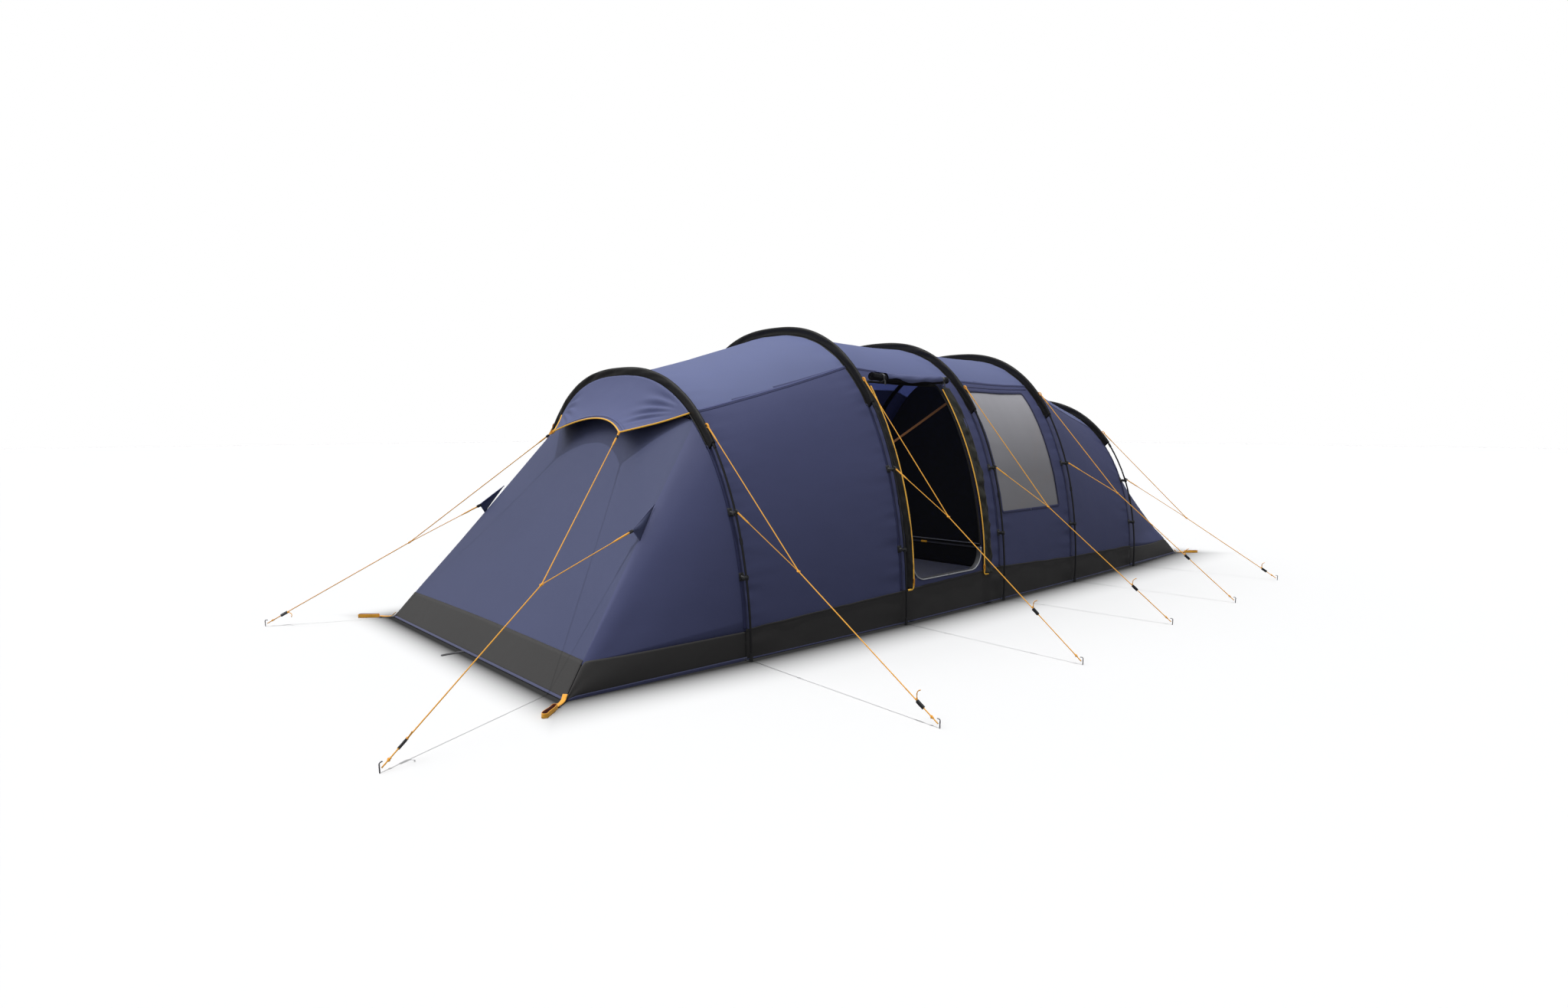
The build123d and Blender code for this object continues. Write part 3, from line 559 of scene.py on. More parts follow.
def make_floor():
    """A wide pale floor. It throws little light back, so that the walls keep their depth."""
    corners = [(x * FLOOR_HALF, y * FLOOR_HALF) for x, y in ((-1, -1), (1, -1), (1, 1), (-1, 1))]
    material, tree, shader, output = new_material("studio_floor")
    shader.inputs["Roughness"].default_value = 0.9
    shader.inputs["Specular IOR Level"].default_value = 0.0
    shade = contact_shade(tree)
    tree.links.new(math_node(tree, "MULTIPLY", shade, FLOOR_PALE), shader.inputs["Base Color"])
    tree.links.new(shade, shader.inputs["Emission Color"])
    shader.inputs["Emission Strength"].default_value = 0.02
    dim = node(tree, "ShaderNodeBsdfDiffuse")
    dim.inputs["Color"].default_value = (0.10, 0.10, 0.103, 1)
    shader_mix(tree, camera_ray(tree), dim, shader, output)
    floor = new_object("studio_floor", [(x, y, -0.0005) for x, y in corners], [(0, 1, 2, 3)], material)
    return floor


def glow_light(name, at, size, power):
    """A soft round light that the camera doesn't see."""
    data = bpy.data.lights.new(name, "POINT")
    data.shadow_soft_size, data.energy = size, power
    made = place_object(name, data)
    made.location = at
    made.visible_camera = False


def sun(name, toward_light, angle, strength):
    data = bpy.data.lights.new(name, "SUN")
    data.angle, data.energy = radians(angle), strength
    made = place_object(name, data)
    made.rotation_euler = Vector(toward_light).to_track_quat("Z", "Y").to_euler()
    return made


def make_world():
    """A white backdrop for the camera, and for the tent a soft light from the front."""
    world = bpy.data.worlds.new("studio")
    world.use_nodes = True
    tree = world.node_tree
    dim = tree.nodes["Background"]
    dim.inputs["Color"].default_value = (0.95, 0.97, 1.0, 1)
    place = node(tree, "ShaderNodeTexCoord")
    split = node(tree, "ShaderNodeSeparateXYZ")
    tree.links.new(place.outputs["Generated"], split.inputs["Vector"])
    fall = ramp(tree, split.outputs["Y"], (0.50, 0.22), (-1.0, 1.0))
    tree.links.new(fall, dim.inputs["Strength"])
    white = node(tree, "ShaderNodeBackground")
    white.inputs["Color"].default_value = (1, 1, 1, 1)
    shader_mix(tree, camera_ray(tree), dim, white, tree.nodes["World Output"])
    bpy.context.scene.world = world
    bpy.context.scene.view_settings.view_transform = "Standard"


def make_lights(floor):
    """A soft key and an overhead sun, a lamp inside, and one more sun that only the floor takes."""
    sun("key", (-0.42, -0.40, 0.84), 50, 1.35)
    sun("overhead", OVERHEAD, 0.6, 1.45)
    glow_light("living_room", (-0.25, -0.45, 1.05), 0.30, 6.0)
    for_floor = bpy.data.collections.new("for_floor")
    for_floor.objects.link(floor)
    sun("floor_only", OVERHEAD, 0.5, 1.6).light_linking.receiver_collection = for_floor


make_camera()
make_lights(make_floor())
make_world()

# ---------------------------------------------------------------- guys
GUY_THICK, BRANCH_THICK = 0.006, 0.005
# Each guy: its upper end, the end of its lower branch, the knot where they meet and its peg. Then the
# lengths of the main line and of the branch, and how far from the peg its runner is.
SIDE_GUYS = {
    "1": ((0.9359, -2.435, 1.3229), (1.1971, -2.435, 0.8460), (1.73, -2.4654, 0.58),
          (2.68, -2.505, 0.014), (2.185, 0.587), 0.130),
    "2": ((0.9297, -1.085, 1.6322), (1.2166, -1.085, 1.0454), (1.66, -1.0891, 0.76),
          (2.61, -1.095, 0.014), (2.337, 0.518), 0.390),
    "3": ((0.9132, 0.105, 1.6125), (1.2107, 0.105, 1.0154), (1.63, 0.1664, 0.74),
          (2.54, 0.255, 0.014), (2.289, 0.496), 0.330),
    "4": ((0.8964, 1.225, 1.5926), (1.1878, 1.225, 1.0155), (1.62, 1.2647, 0.78),
          (2.56, 1.325, 0.014), (2.294, 0.484), 0.470),
    "5": ((0.8935, 2.415, 1.2534), (1.1515, 2.415, 0.8165), (1.69, 2.5054, 0.49),
          (2.45, 2.605, 0.014), (2.000, 0.626), 0.120),
}
FRONT_GUYS = {
    "right": ((0.4231, -2.7183, 1.2803), (0.9951, -3.0185, 0.7627), (1.08, -3.583, 0.562),
              (1.52, -4.507, 0.014), (2.455, 0.596), 0.130),
    "left": ((-0.4239, -2.7171, 1.2797), (-0.998, -3.0167, 0.7601), (-1.139, -3.454, 0.53),
             (-1.526, -4.292, 0.014), (2.321, 0.504), 0.130),
}
NEAR_KNOT = 0.036               # six diameters of straight line each side of a knot
PEG_GAP, BRANCH_GAP = 0.008, 0.0095
HITCH_FROM_END = 0.042


def all_guys():
    """The name, side word, four points, two lengths and runner distance of every guy."""
    for word, side in SIDES.items():
        for number, (*points, lengths, runner) in SIDE_GUYS.items():
            yield f"{word}_{number}", word, [Vector((side * x, y, z)) for x, y, z in points], lengths, runner
        *points, lengths, runner = FRONT_GUYS[word]
        yield f"front_{word}", word, [Vector(p) for p in points], lengths, runner


def toward(start, end, distance):
    return start + (end - start).normalized() * distance


def cord_curve(name, route, thickness):
    """A smooth line through its route, which is the control points of one NURBS spline."""
    data = bpy.data.curves.new(name, "CURVE")
    data.dimensions = "3D"
    data.bevel_depth, data.bevel_resolution, data.resolution_u = thickness / 2, 3, 6
    data.use_fill_caps = True
    line = data.splines.new("NURBS")
    line.points.add(len(route) - 1)
    for point, place in zip(line.points, route):
        point.co = (*place, 1)
    line.order_u = 3
    line.use_endpoint_u = True
    data.materials.append(GUY)
    return place_object(name, data)


def knot(name, at, along, size, radius):
    """An overhand knot: a tube on a trefoil, drawn out a little along its line."""
    along = along.normalized()
    side = along.cross(UP).normalized()
    over = side.cross(along)
    path = []
    for turn in steps(0, 2 * pi, 30)[:-1]:
        flat = (sin(turn) + 2 * sin(2 * turn), cos(turn) - 2 * cos(2 * turn), -sin(3 * turn))
        path.append(at + along * flat[0] * size + side * flat[1] * size * 0.7 + over * flat[2] * size)
    rows = []
    for k, p in enumerate(path):
        run = (path[(k + 1) % len(path)] - path[k - 1]).normalized()
        across = run.cross(Vector((0.3, 0.2, 0.93))).normalized()
        high = across.cross(run)
        turns = steps(0, 2 * pi, 7)[:-1]
        rows.append([p + (across * cos(t) + high * sin(t)) * radius for t in turns])
    rows.append(rows[0])
    return grid(name, rows, GUY, closed=True)


def make_guy(name, points, lengths, nodes):
    top, low, junction, peg = points
    end = toward(peg, junction, PEG_GAP)
    route = [top, toward(junction, top, NEAR_KNOT), junction, toward(junction, end, NEAR_KNOT), end]
    main = on_tent(cord_curve(f"guy_{name}", route, GUY_THICK), "guy_cord", nodes)
    near = toward(junction, low, BRANCH_GAP)
    lower = on_tent(cord_curve(f"guy_branch_{name}", [low, near], BRANCH_THICK), "guy_cord", nodes)
    tied = on_tent(knot(f"guy_knot_{name}", junction, end - junction, 0.0034, 0.0030), "guy_cord")
    at_peg = toward(end, junction, HITCH_FROM_END)
    hitch = on_tent(knot(f"guy_hitch_{name}", at_peg, junction - end, 0.0030, 0.0028), "guy_cord")
    tuple(top)
    tuple(low)


for name, word, points, lengths, _ in all_guys():
    make_guy(name, points, lengths, f"guys_{word}")

# ---------------------------------------------------------------- openings in the fly
DOOR_Y, DOOR_Z, DOOR_CORNER = (-0.960, -0.140), (0.275, 1.630), 0.130
WINDOW_Y, WINDOW_Z, WINDOW_CORNER = (0.200, 1.070), (0.672, 1.600), 0.020


def outside(y, z, y_range, z_range, low_corner, high_corner):
    """Distance from a rounded opening's edge, negative inside, and the nearest point of the edge."""
    y_mid, z_mid = sum(y_range) / 2, sum(z_range) / 2
    corner = low_corner if z < z_mid else high_corner
    dy = abs(y - y_mid) - (y_range[1] - y_range[0]) / 2 + corner
    dz = abs(z - z_mid) - (z_range[1] - z_range[0]) / 2 + corner
    distance = hypot(max(dy, 0), max(dz, 0)) + min(max(dy, dz), 0) - corner
    if dy > 0 and dz > 0:
        away = Vector((dy, dz)).normalized()
    else:
        away = Vector((1, 0)) if dy > dz else Vector((0, 1))
    sign = Vector((1 if y > y_mid else -1, 1 if z > z_mid else -1))
    return distance, Vector((y - distance * away.x * sign.x, z - distance * away.y * sign.y))


def from_door(y, z):
    return outside(y, z, DOOR_Y, DOOR_Z, DOOR_CORNER, 0.02)


def from_window(y, z):
    return outside(y, z, WINDOW_Y, WINDOW_Z, WINDOW_CORNER, WINDOW_CORNER)


# ---------------------------------------------------------------- the fly over the arches
FLY_STEP = 0.016
SNAP = FLY_STEP * 0.6           # a point this near to an opening's edge is moved onto it


def fly_steps(size):
    """Places along the tunnel about that far apart, with one on every arch."""
    values = [ARCH_Y[0]]
    for y0, y1 in zip(ARCH_Y, ARCH_Y[1:]):
        values += steps(y0, y1, round((y1 - y0) / size))[1:]
    return values


def make_fly():
    """One sheet over all five arches, cut out at the door and the window."""
    y_values = fly_steps(FLY_STEP)
    angles = even_angles(300)
    rows, flat = [], []
    for y in y_values:
        top = fabric_size(y)[1]
        start = angle_at(top, between(y, BAND_TOP) - 0.02)
        row, flat_row = [], []
        for a in angles:
            angle = mix(start, pi - start, a / pi)
            z = top * abs(sin(angle)) ** (2 / HEIGHT_POWER)
            spot, moved = (y, z), False
            if angle < pi / 2:
                for from_edge in (from_door, from_window):
                    distance, edge = from_edge(y, z)
                    if abs(distance) < SNAP:
                        spot, moved = tuple(edge), True
            row.append(fly_at(*spot) if moved else fly(y, angle))
            flat_row.append(Vector(spot) if angle < pi / 2 else None)
        rows.append(row)
        flat.append(flat_row)

    def keep(r, c):
        spots = [flat[r][c], flat[r][c + 1], flat[r + 1][c], flat[r + 1][c + 1]]
        if None in spots:
            return True
        middle = sum(spots, Vector((0, 0))) / 4
        return from_door(*middle)[0] > 0 and from_window(*middle)[0] > 0
    made = grid("fly_tunnel", rows, SIDE, keep)
    # The roof above the seams takes the lighter copy of the cloth: painted light from above.
    made.data.materials.append(ROOF)
    for face in made.data.polygons:
        if face.center.z > between(face.center.y, SEAM_Z) - 0.003:
            face.material_index = 1
    nodes = [f"{part}_bay_{n}" for part in ("roof", "left_side", "right_side") for n in range(1, 5)]
    thicken(on_tent(made, "fly_cloth", *nodes))


make_fly()


# ---------------------------------------------------------------- the two sloping ends
FLANK_CUTS, FACE_CUTS = 22, 84


def end_data(front):
    if front:
        return ARCH_Y[0], -END_Y, FRONT_HALF, 0.0
    return ARCH_Y[-1], END_Y, REAR_HALF, REAR_SAG


def ridge_angle(front):
    half, top = fabric_size(end_data(front)[0])
    return angle_at(top, top * (1 - (RIDGE_X / half) ** WIDTH_POWER) ** (1 / HEIGHT_POWER))


def plain(y, angle, depth=0.0):
    """The tunnel's surface with no sag or folds."""
    x, z = arch_xz(*fabric_size(y, depth), angle)
    return Vector((x, y, z))


def face_top(front, across):
    """The upper edge of an end wall's face. The front one passes below the hood."""
    ridge = ridge_angle(front)
    if not front:
        return plain(ARCH_Y[-1], ridge + (pi - 2 * ridge) * across)
    u = 1 - 2 * across
    low = plain(ARCH_Y[0], ridge).z
    return Vector((RIDGE_X * u, ARCH_Y[0], low + FACE_RISE * (1 - u * u)))


def slope_point(front, share, start, base, ruck=0.0):
    """A point part of the way from the end arch to a point (x, z) on the base edge."""
    arch_y, base_y, _, sag = end_data(front)
    hang = 4 * share * (1 - share) * sag
    x = start.x + (base[0] - start.x) * share
    z = start.z + (base[1] - start.z) * share
    raised = min(1.0, z / 0.3)
    x -= hang * 0.6 * raised * max(-1, min(1, x / RIDGE_X))
    point = Vector((x, arch_y + (base_y - arch_y) * share, z - hang * 0.8 * raised))
    return point + Vector((0, -0.6 if front else 0.6, 0.8)) * ruck * raised


def band_share_up(front, share):
    """How far up the flank the ground band reaches at one distance down the slope."""
    arch_y = end_data(front)[0]
    top = fabric_size(arch_y)[1]
    height = min(top * 0.98, between(arch_y, BAND_TOP) * 0.93 / max(1 - share, 0.02))
    return min(0.93, angle_at(top, height) / ridge_angle(front))


def face_point(front, share, across, out=0.0):
    half = end_data(front)[2]
    start = face_top(front, across)
    ends = share * (1 - share) * 4
    loose = 0.007 * ends * ripple((across * 4.5, share * 1.6, 5.0))
    loose += 0.0022 * ripple((across * 26, share * 3.0, 2.0)) * exp(-share / 0.25)
    middle = 1 - (2 * across - 1) ** 2
    point = slope_point(front, share, start, (half * (1 - 2 * across), 0.0), loose - 0.010 * ends * middle)
    return point + Vector((0, -0.72 if front else 0.72, 0.69)) * out


def flank_point(front, share, up, side, out=0.0):
    """A point of the cloth between the end arch's leg and the fold. up is 1 at the fold."""
    arch_y, _, half, _ = end_data(front)
    start = plain(arch_y, ridge_angle(front) * up)
    point = slope_point(front, share, start, (half, 0.0))
    inward = 0.014 * 16 * share * (1 - share) * up * (1 - up) * min(1.0, point.z / 0.3)
    ruck = 0.004 * ripple((up * 3.0, share * 5.0, side), 4.0) * min(1, 6 * share) * min(1, 4 * (1 - up))
    ruck += 0.010 * ripple((up * 19, share * 9, side)) * exp(-share / 0.06) * min(1, 25 * share) * up
    return Vector((side * (point.x + out - inward + ruck), point.y, point.z))


def soften(row, fold, share):
    """Round the fold off, less and less towards the ground band."""
    weight = 0.5 * smooth((BAND_SHARE - share) / 0.25) * smooth(share / 0.05)
    for _ in range(3):
        old = list(row)
        for k in range(fold - 4, fold + 5):
            row[k] = old[k].lerp((old[k - 1] + old[k + 1]) / 2, weight)


def end_rows(front, shares):
    """Rows down the slope, each from the right leg over the face to the left leg."""
    rows = []
    for share in shares:
        ups = steps(band_share_up(front, share) * 0.97, 1.0, FLANK_CUTS)
        row = [flank_point(front, share, up, 1) for up in ups[:-1]]
        row += [face_point(front, share, across) for across in steps(0, 1, FACE_CUTS)]
        row += [flank_point(front, share, up, -1) for up in reversed(ups[:-1])]
        soften(row, FLANK_CUTS, share)
        soften(row, len(row) - 1 - FLANK_CUTS, share)
        rows.append(row)
    return rows


def make_end(front):
    name = "front" if front else "rear"
    rows = end_rows(front, steps(0.0, BAND_SHARE + 0.012, 60))
    if front:
        rows = [list(reversed(row)) for row in rows]
    made = grid(f"fly_{name}_end", list(reversed(rows)), FRONT if front else SIDE)
    made.data.materials.append(SIDE)
    if front:
        wide = len(rows[0]) - 1
        for number, face in enumerate(made.data.polygons):
            if not FLANK_CUTS <= number % wide < wide - FLANK_CUTS:
                face.material_index = 1
    thicken(on_tent(made, "fly_cloth", f"{name}_wall"))


make_end(True)
make_end(False)


# ---------------------------------------------------------------- ground band
def band_top(y):
    return between(y, BAND_TOP) + 0.006 * ripple((y * 5.5, 0.0, 3.0))


def make_side_band(word, side):
    def place(y, share):
        z = mix(0.001, band_top(y), share)
        flare = 0.004 * ripple((y * 5.0, z * 3.0, side), 7.0) * smooth(z / 0.1)
        return fly_at(y, z, side, 0.003 + flare)
    up = steps(0, 1, 16)
    rows = surface(fly_steps(0.03), up if side > 0 else up[::-1], place)
    band = cloth(f"ground_band_{word}", rows, BAND, "band_cloth", "ground_band_sides", offset=-1.0)


def make_end_band(front):
    """The dark band round one sloping end: across the foot of the face and along both flanks."""
    name = "front" if front else "rear"

    def make(word, rows):
        band = cloth(f"ground_band_{name}_{word}", rows, BAND, "band_cloth", "ground_band_ends", offset=-1.0)
    across = steps(0, 1, FACE_CUTS)
    rows = surface(steps(BAND_SHARE, 1.0, 10), across if front else across[::-1],
                   lambda share, a: face_point(front, share, a, 0.002))
    make("face", rows[::-1])
    for word, side in SIDES.items():
        rows = []
        for share in steps(0.0, 1.0, 48):
            top = band_share_up(front, share) if share < BAND_SHARE else 1.0
            rows.append([flank_point(front, share, up * top, side, 0.002) for up in steps(0, 1, 14)])
        if (side > 0) != front:
            rows = [row[::-1] for row in rows]
        make(word, rows)


for word, side in SIDES.items():
    make_side_band(word, side)
make_end_band(True)
make_end_band(False)


# ---------------------------------------------------------------- pole sleeves
SLEEVE_PROFILE = (
    (0.00, 0.0050), (0.14, 0.0044), (0.30, 0.0048), (0.46, 0.0060), (0.60, 0.0082),
    (0.73, 0.0102), (0.84, 0.0106), (0.92, 0.0088), (0.97, 0.0056), (1.00, 0.0),
)


def sleeve_point(n, angle, share, sideways):
    """share is 0 at the fly and 1 at the sleeve's outer edge."""
    inner = Vector(arch_xz(*fabric_size(ARCH_Y[n]), angle))
    outer = Vector(arch_xz(FOOT_HALF[n] + 0.012, ARCH_TOP[n], angle))
    point = inner.lerp(outer, share)
    return Vector((point.x, ARCH_Y[n] + sideways, point.y))


def make_sleeve(n):
    """A folded band of cloth over the crown with the pole in its outer edge."""
    first = angle_at(ARCH_TOP[n], SLEEVE_END_Z[n])
    section = list(SLEEVE_PROFILE) + [(share, -width) for share, width in reversed(SLEEVE_PROFILE[:-1])]

    def place(angle, spot):
        share, width = spot
        fine = (angle * 34, share * 1.6, n * 5.0 + (0.0 if width > 0 else 20.0))
        crease = ripple(fine) * 0.0012 * sin(pi * min(share, 0.95))
        slant = (angle * 9 + share * 1.4, share * 1.2, n * 7.0)
        crease += 0.0095 * ripple(slant, 2.0) * sin(pi * min(share, 0.98))
        edge = 0.0016 * ripple((angle * 12, n * 3.0, 1.0)) * share
        return sleeve_point(n, angle, share * (1 - abs(edge) * 8), width + crease + edge)
    rows = surface(steps(first, pi - first, 230), section, place)
    node_name = f"pole_sleeve_{n + 1}"
    made = cloth(f"sleeve_{n + 1}", rows, SLEEVE, "black_cloth", node_name, thickness=0.0014, offset=-1.0)


for n in ARCHES:
    make_sleeve(n)

# ---------------------------------------------------------------- tapes that lie on the fly
FIFTHS = (-0.5, -0.25, 0.0, 0.25, 0.5)
TAPE_CROWN = 0.0004


def reach_of(route, k, closed):
    """The run of a flat route at one of its spots."""
    last = len(route) - 1
    before = route[k - 1] if k else route[-2 if closed else 0]
    after = route[k + 1] if k < last else route[1 if closed else last]
    return Vector((after[0] - before[0], after[1] - before[1])).normalized()


def wall_tape(name, route, width, material, slot, side=1, out=0.0022, thickness=0.0014, closed=False):
    """A tape along a route of (y, z) spots on a side wall."""
    rows = []
    for k, (y, z) in enumerate(route):
        run = reach_of(route, k, closed)
        row = []
        for share in FIFTHS:
            lift = out + TAPE_CROWN * (1 - 4 * share * share)
            row.append(fly_at(y - run.y * share * width, z + run.x * share * width, side, lift))
        rows.append(row)
    cloth(name, rows, material, slot, thickness=thickness)


def arch_tape(name, n, width, material, slot, first, last, out=0.0018, count=150, pucker=0.0):
    """A tape round one arch between two angles, on the fly."""
    def place(angle, share):
        wave = pucker * ripple((angle * 42, share * 2.4, n * 3.0)) * (1 - 2 * abs(share))
        return fly(ARCH_Y[n] + share * width, angle, out + abs(wave))
    cloth(name, surface(steps(first, last, count), steps(-0.5, 0.5, 6), place), material, slot,
          thickness=0.0014)


def outline(y_range, z_range, low_corner, high_corner, grow=0.0, gap=0.03):
    """The edge of a rounded opening as a closed route of (y, z), from the middle of its foot."""
    y0, y1, z0, z1 = y_range[0] - grow, y_range[1] + grow, z_range[0] - grow, z_range[1] + grow
    corners = [(y1, z0, low_corner, -90), (y1, z1, high_corner, 0), (y0, z1, high_corner, 90),
               (y0, z0, low_corner, 180)]
    spots = [((y0 + y1) / 2, z0)]
    for y, z, size, start in corners:
        size = max(size + grow, 0.004)
        centre = (y - size if y == y1 else y + size, z - size if z == z1 else z + size)
        for turn in steps(start, start + 90, 8):
            here = (centre[0] + size * cos(radians(turn)), centre[1] + size * sin(radians(turn)))
            far = hypot(here[0] - spots[-1][0], here[1] - spots[-1][1])
            if far > gap:
                fill = steps(0, 1, max(1, round(far / gap)))[1:-1]
                spots += [(mix(spots[-1][0], here[0], s), mix(spots[-1][1], here[1], s)) for s in fill]
            spots.append(here)
    return spots + steps_between(spots[-1], spots[0], gap)


def steps_between(start, end, gap):
    count = max(1, round(hypot(end[0] - start[0], end[1] - start[1]) / gap))
    return [(mix(start[0], end[0], s), mix(start[1], end[1], s)) for s in steps(0, 1, count)[1:]]


def make_seams():
    """Roof seams, the tapes under the sleeves and the gathered seams down the legs."""
    for word, side in SIDES.items():
        for number, drop, material in ((1, 0.0, ROOF_SEAM), (2, 0.010, SIDE_SEAM)):
            route = [(y, between(y, SEAM_Z) - drop) for y in fly_steps(0.03)]
            wall_tape(f"roof_seam_{word}_{number}", route, 0.008, material, "fly_cloth", side, 0.0016)
    for n in ARCHES:
        first = angle_at(ARCH_TOP[n], SLEEVE_END_Z[n])
        number = n + 1
        arch_tape(f"sleeve_seam_{number}", n, 0.032, SLEEVE, "black_cloth", first + 0.01, pi - first - 0.01)
        if n in (1, 2, 3):
            arch_tape(f"inside_tape_{number}", n, 0.060, SLEEVE, "black_cloth", 0.35, pi - 0.35, -0.006)
        low = wall_angle(ARCH_Y[n], BAND_TOP[n])
        for word, start, end in (("right", low, first + 0.02), ("left", pi - first - 0.02, pi - low)):
            arch_tape(f"leg_seam_{number}_{word}", n, 0.026, SIDE_SEAM, "fly_cloth", start, end, 0.0022,
                      90, 0.0045)


make_seams()


# ---------------------------------------------------------------- hem binding round the ground
def make_hem():
    """Blue binding along the foot of the ground band, all the way round."""
    def bind(name, rows):
        cloth(f"hem_{name}", rows, HEM_BLUE, "fly_cloth", thickness=0.002)
    for word, side in SIDES.items():
        bind(word, surface(fly_steps(0.04), (0.002, 0.004, 0.007, 0.010),
                           lambda y, z: fly_at(y, z, side, 0.0065)))
    for front in (True, False):
        name = "front" if front else "rear"
        rows = []
        for share in (0.992, 0.9945, 0.997, 0.9995):
            ups = steps(0, 1, 6)[:-1]
            row = [flank_point(front, share, up, 1, 0.004) for up in ups]
            row += [face_point(front, share, a, 0.0045) for a in steps(0, 1, 60)]
            row += [flank_point(front, share, up, -1, 0.004) for up in reversed(ups)]
            rows.append(row)
        bind(name, rows)
        for word, side in SIDES.items():
            rows = []
            for share in steps(0.0, 0.99, 24):
                high = min(0.5, 0.012 / max(1 - share, 0.02) / 1.2)
                rows.append([flank_point(front, share, up, side, 0.0065) for up in steps(0, high, 3)])
            bind(f"{name}_{word}", rows)


make_hem()


# ---------------------------------------------------------------- seams at the rear and the side bands
def make_fold_seams():
    """The stitched folds of the rear end, and the seams along the side bands."""
    for word, side in SIDES.items():
        path = [face_point(False, s, 0.0 if side > 0 else 1.0, 0.001) for s in steps(0.02, 0.86, 60)]
        out = Vector((side * 0.72, 0.5, 0.48))
        on_tent(tube(f"fold_seam_{word}", path, 0.0032, SIDE_SEAM, 6, out), "fly_cloth")
    for word, side in SIDES.items():
        route = [(y, band_top(y) - 0.006) for y in fly_steps(0.03)]
        wall_tape(f"band_seam_{word}", route, 0.012, BAND, "band_cloth", side, 0.0068)


make_fold_seams()

# ---------------------------------------------------------------- hood, vent and tabs at the front
HOOD_TIP = Vector((0.416, -2.709, 1.288))
HOOD_RISE = 0.087
HOOD_DRAW = 0.085               # how far the front edge is drawn back between its tips
HOOD_SET_BACK = 0.013


def hood_point(share, across, out=0.0):
    """share is 0 at the arch and 1 at the front edge, across 0 on the right and 1 on the left."""
    start = ridge_angle(True) + 0.03
    back = plain(ARCH_Y[0], start + (pi - 2 * start) * across, -0.006)
    back.y -= HOOD_SET_BACK
    u = 1 - 2 * across
    bow = 1 - u * u
    front = Vector((HOOD_TIP.x * u, HOOD_TIP.y + HOOD_DRAW * bow, HOOD_TIP.z + HOOD_RISE * bow))
    point = back.lerp(front, share)
    loose = 4 * share * (1 - share)
    side_in = min(across, 1 - across)
    far, turn = hypot(share * 0.30, side_in * 1.3), atan2(share * 0.30, side_in * 1.3 + 0.001)
    ruck = 0.0085 * sin(turn * 21 + 1.0) * exp(-((far - 0.19) / 0.10) ** 2) * min(1.0, 3 * loose)
    ruck *= smooth((1.35 - turn) / 0.4)
    sway = 0.005 * loose * ripple((across * 5, share * 1.5, 2.0))
    over = Vector((0.35 * u, -0.5, 0.8)).normalized()
    return point + over * (out + ruck + sway - 0.016 * loose * (1 - 0.6 * abs(u)))


def make_hood():
    across = steps(0, 1, 110)
    rows = surface(steps(0, 1, 30), across, hood_point)
    hood = cloth("hood", rows, HOOD, "fly_cloth", "front_hood", offset=-1.0)
    edge = [hood_point(s, 0.0, 0.001) for s in steps(0, 1, 16)]
    edge += [hood_point(1.0, a, 0.001) for a in steps(0, 1, 60)[1:-1]]
    edge += [hood_point(s, 1.0, 0.001) for s in steps(1, 0, 16)]
    on_tent(tube("hood_piping", edge, 0.0048, PIPING, 8), "orange_webbing")
    seam = surface((0.90, 0.925, 0.95), across, lambda share, a: hood_point(share, a, 0.0016))
    cloth("hood_hem", seam, HOOD, "fly_cloth")


def make_vent():
    """The dark mesh between the front wall's upper edge and the first arch, under the hood."""
    start = ridge_angle(True) + 0.02

    def place(share, a):
        high = plain(ARCH_Y[0], start + (pi - 2 * start) * a, 0.004)
        low = face_top(True, mix(0.012, 0.988, a)) - Vector((0, 0, 0.012))
        spot = low.lerp(high, share)
        bulge = 0.012 * 4 * share * (1 - share)
        return Vector((spot.x, ARCH_Y[0] - 0.008 - bulge, spot.z))
    rows = surface(steps(0, 1, 10), steps(0, 1, 70), place)
    vent = cloth("hood_vent", rows, MESH_CLOTH, "black_cloth", thickness=0.0008, offset=-1.0)


def make_tab(word, side):
    """A triangle of cloth on the fold, drawn out to the ring where its guy is tied."""
    top = Vector((side * 0.958, -2.830, 0.900))
    low = Vector((side * 1.006, -2.962, 0.716))
    tip = Vector((side * 0.996, -3.001, 0.774))
    out = (top - low).cross(tip - low).normalized() * side

    def place(along, share):
        spot = top.lerp(low, along).lerp(tip, share * 0.985)
        curl = 0.010 * sin(pi * along) * share * (1 - share) * 4
        return spot + out * (curl + 0.0015 * ripple((along * 6, share * 4, side)) * share)
    rows = surface(steps(0, 1, 16), steps(0, 1, 10), place)
    tab = cloth(f"fold_tab_{word}", rows, FRONT, "fly_cloth", "fold_tabs", thickness=0.0016)
    rim = rows[0] + rows[-1][-2::-1]
    on_tent(tube(f"fold_tab_rim_{word}", rim, 0.0032, FRONT_SEAM, 6), "fly_cloth")


make_hood()
make_vent()
for word, side in SIDES.items():
    make_tab(word, side)


# ---------------------------------------------------------------- webbing where the guys are tied
def ring(name, centre, along, half_length, half_width, tape, material, slot):
    """A closed loop of tape, drawn out along one direction and standing on its edge."""
    side = along.cross(Vector((0.1, 1, 0.1))).normalized()
    high = side.cross(along)

    def place(turn, share):
        spot = centre + along * (half_length * cos(turn)) + side * (half_width * sin(turn))
        return spot + high * (tape * share)
    cloth(name, surface(steps(0, 2 * pi, 28), FIFTHS, place), material, slot, thickness=0.0018)


WEB_LENGTH, WEB_R = 0.125, 0.0056


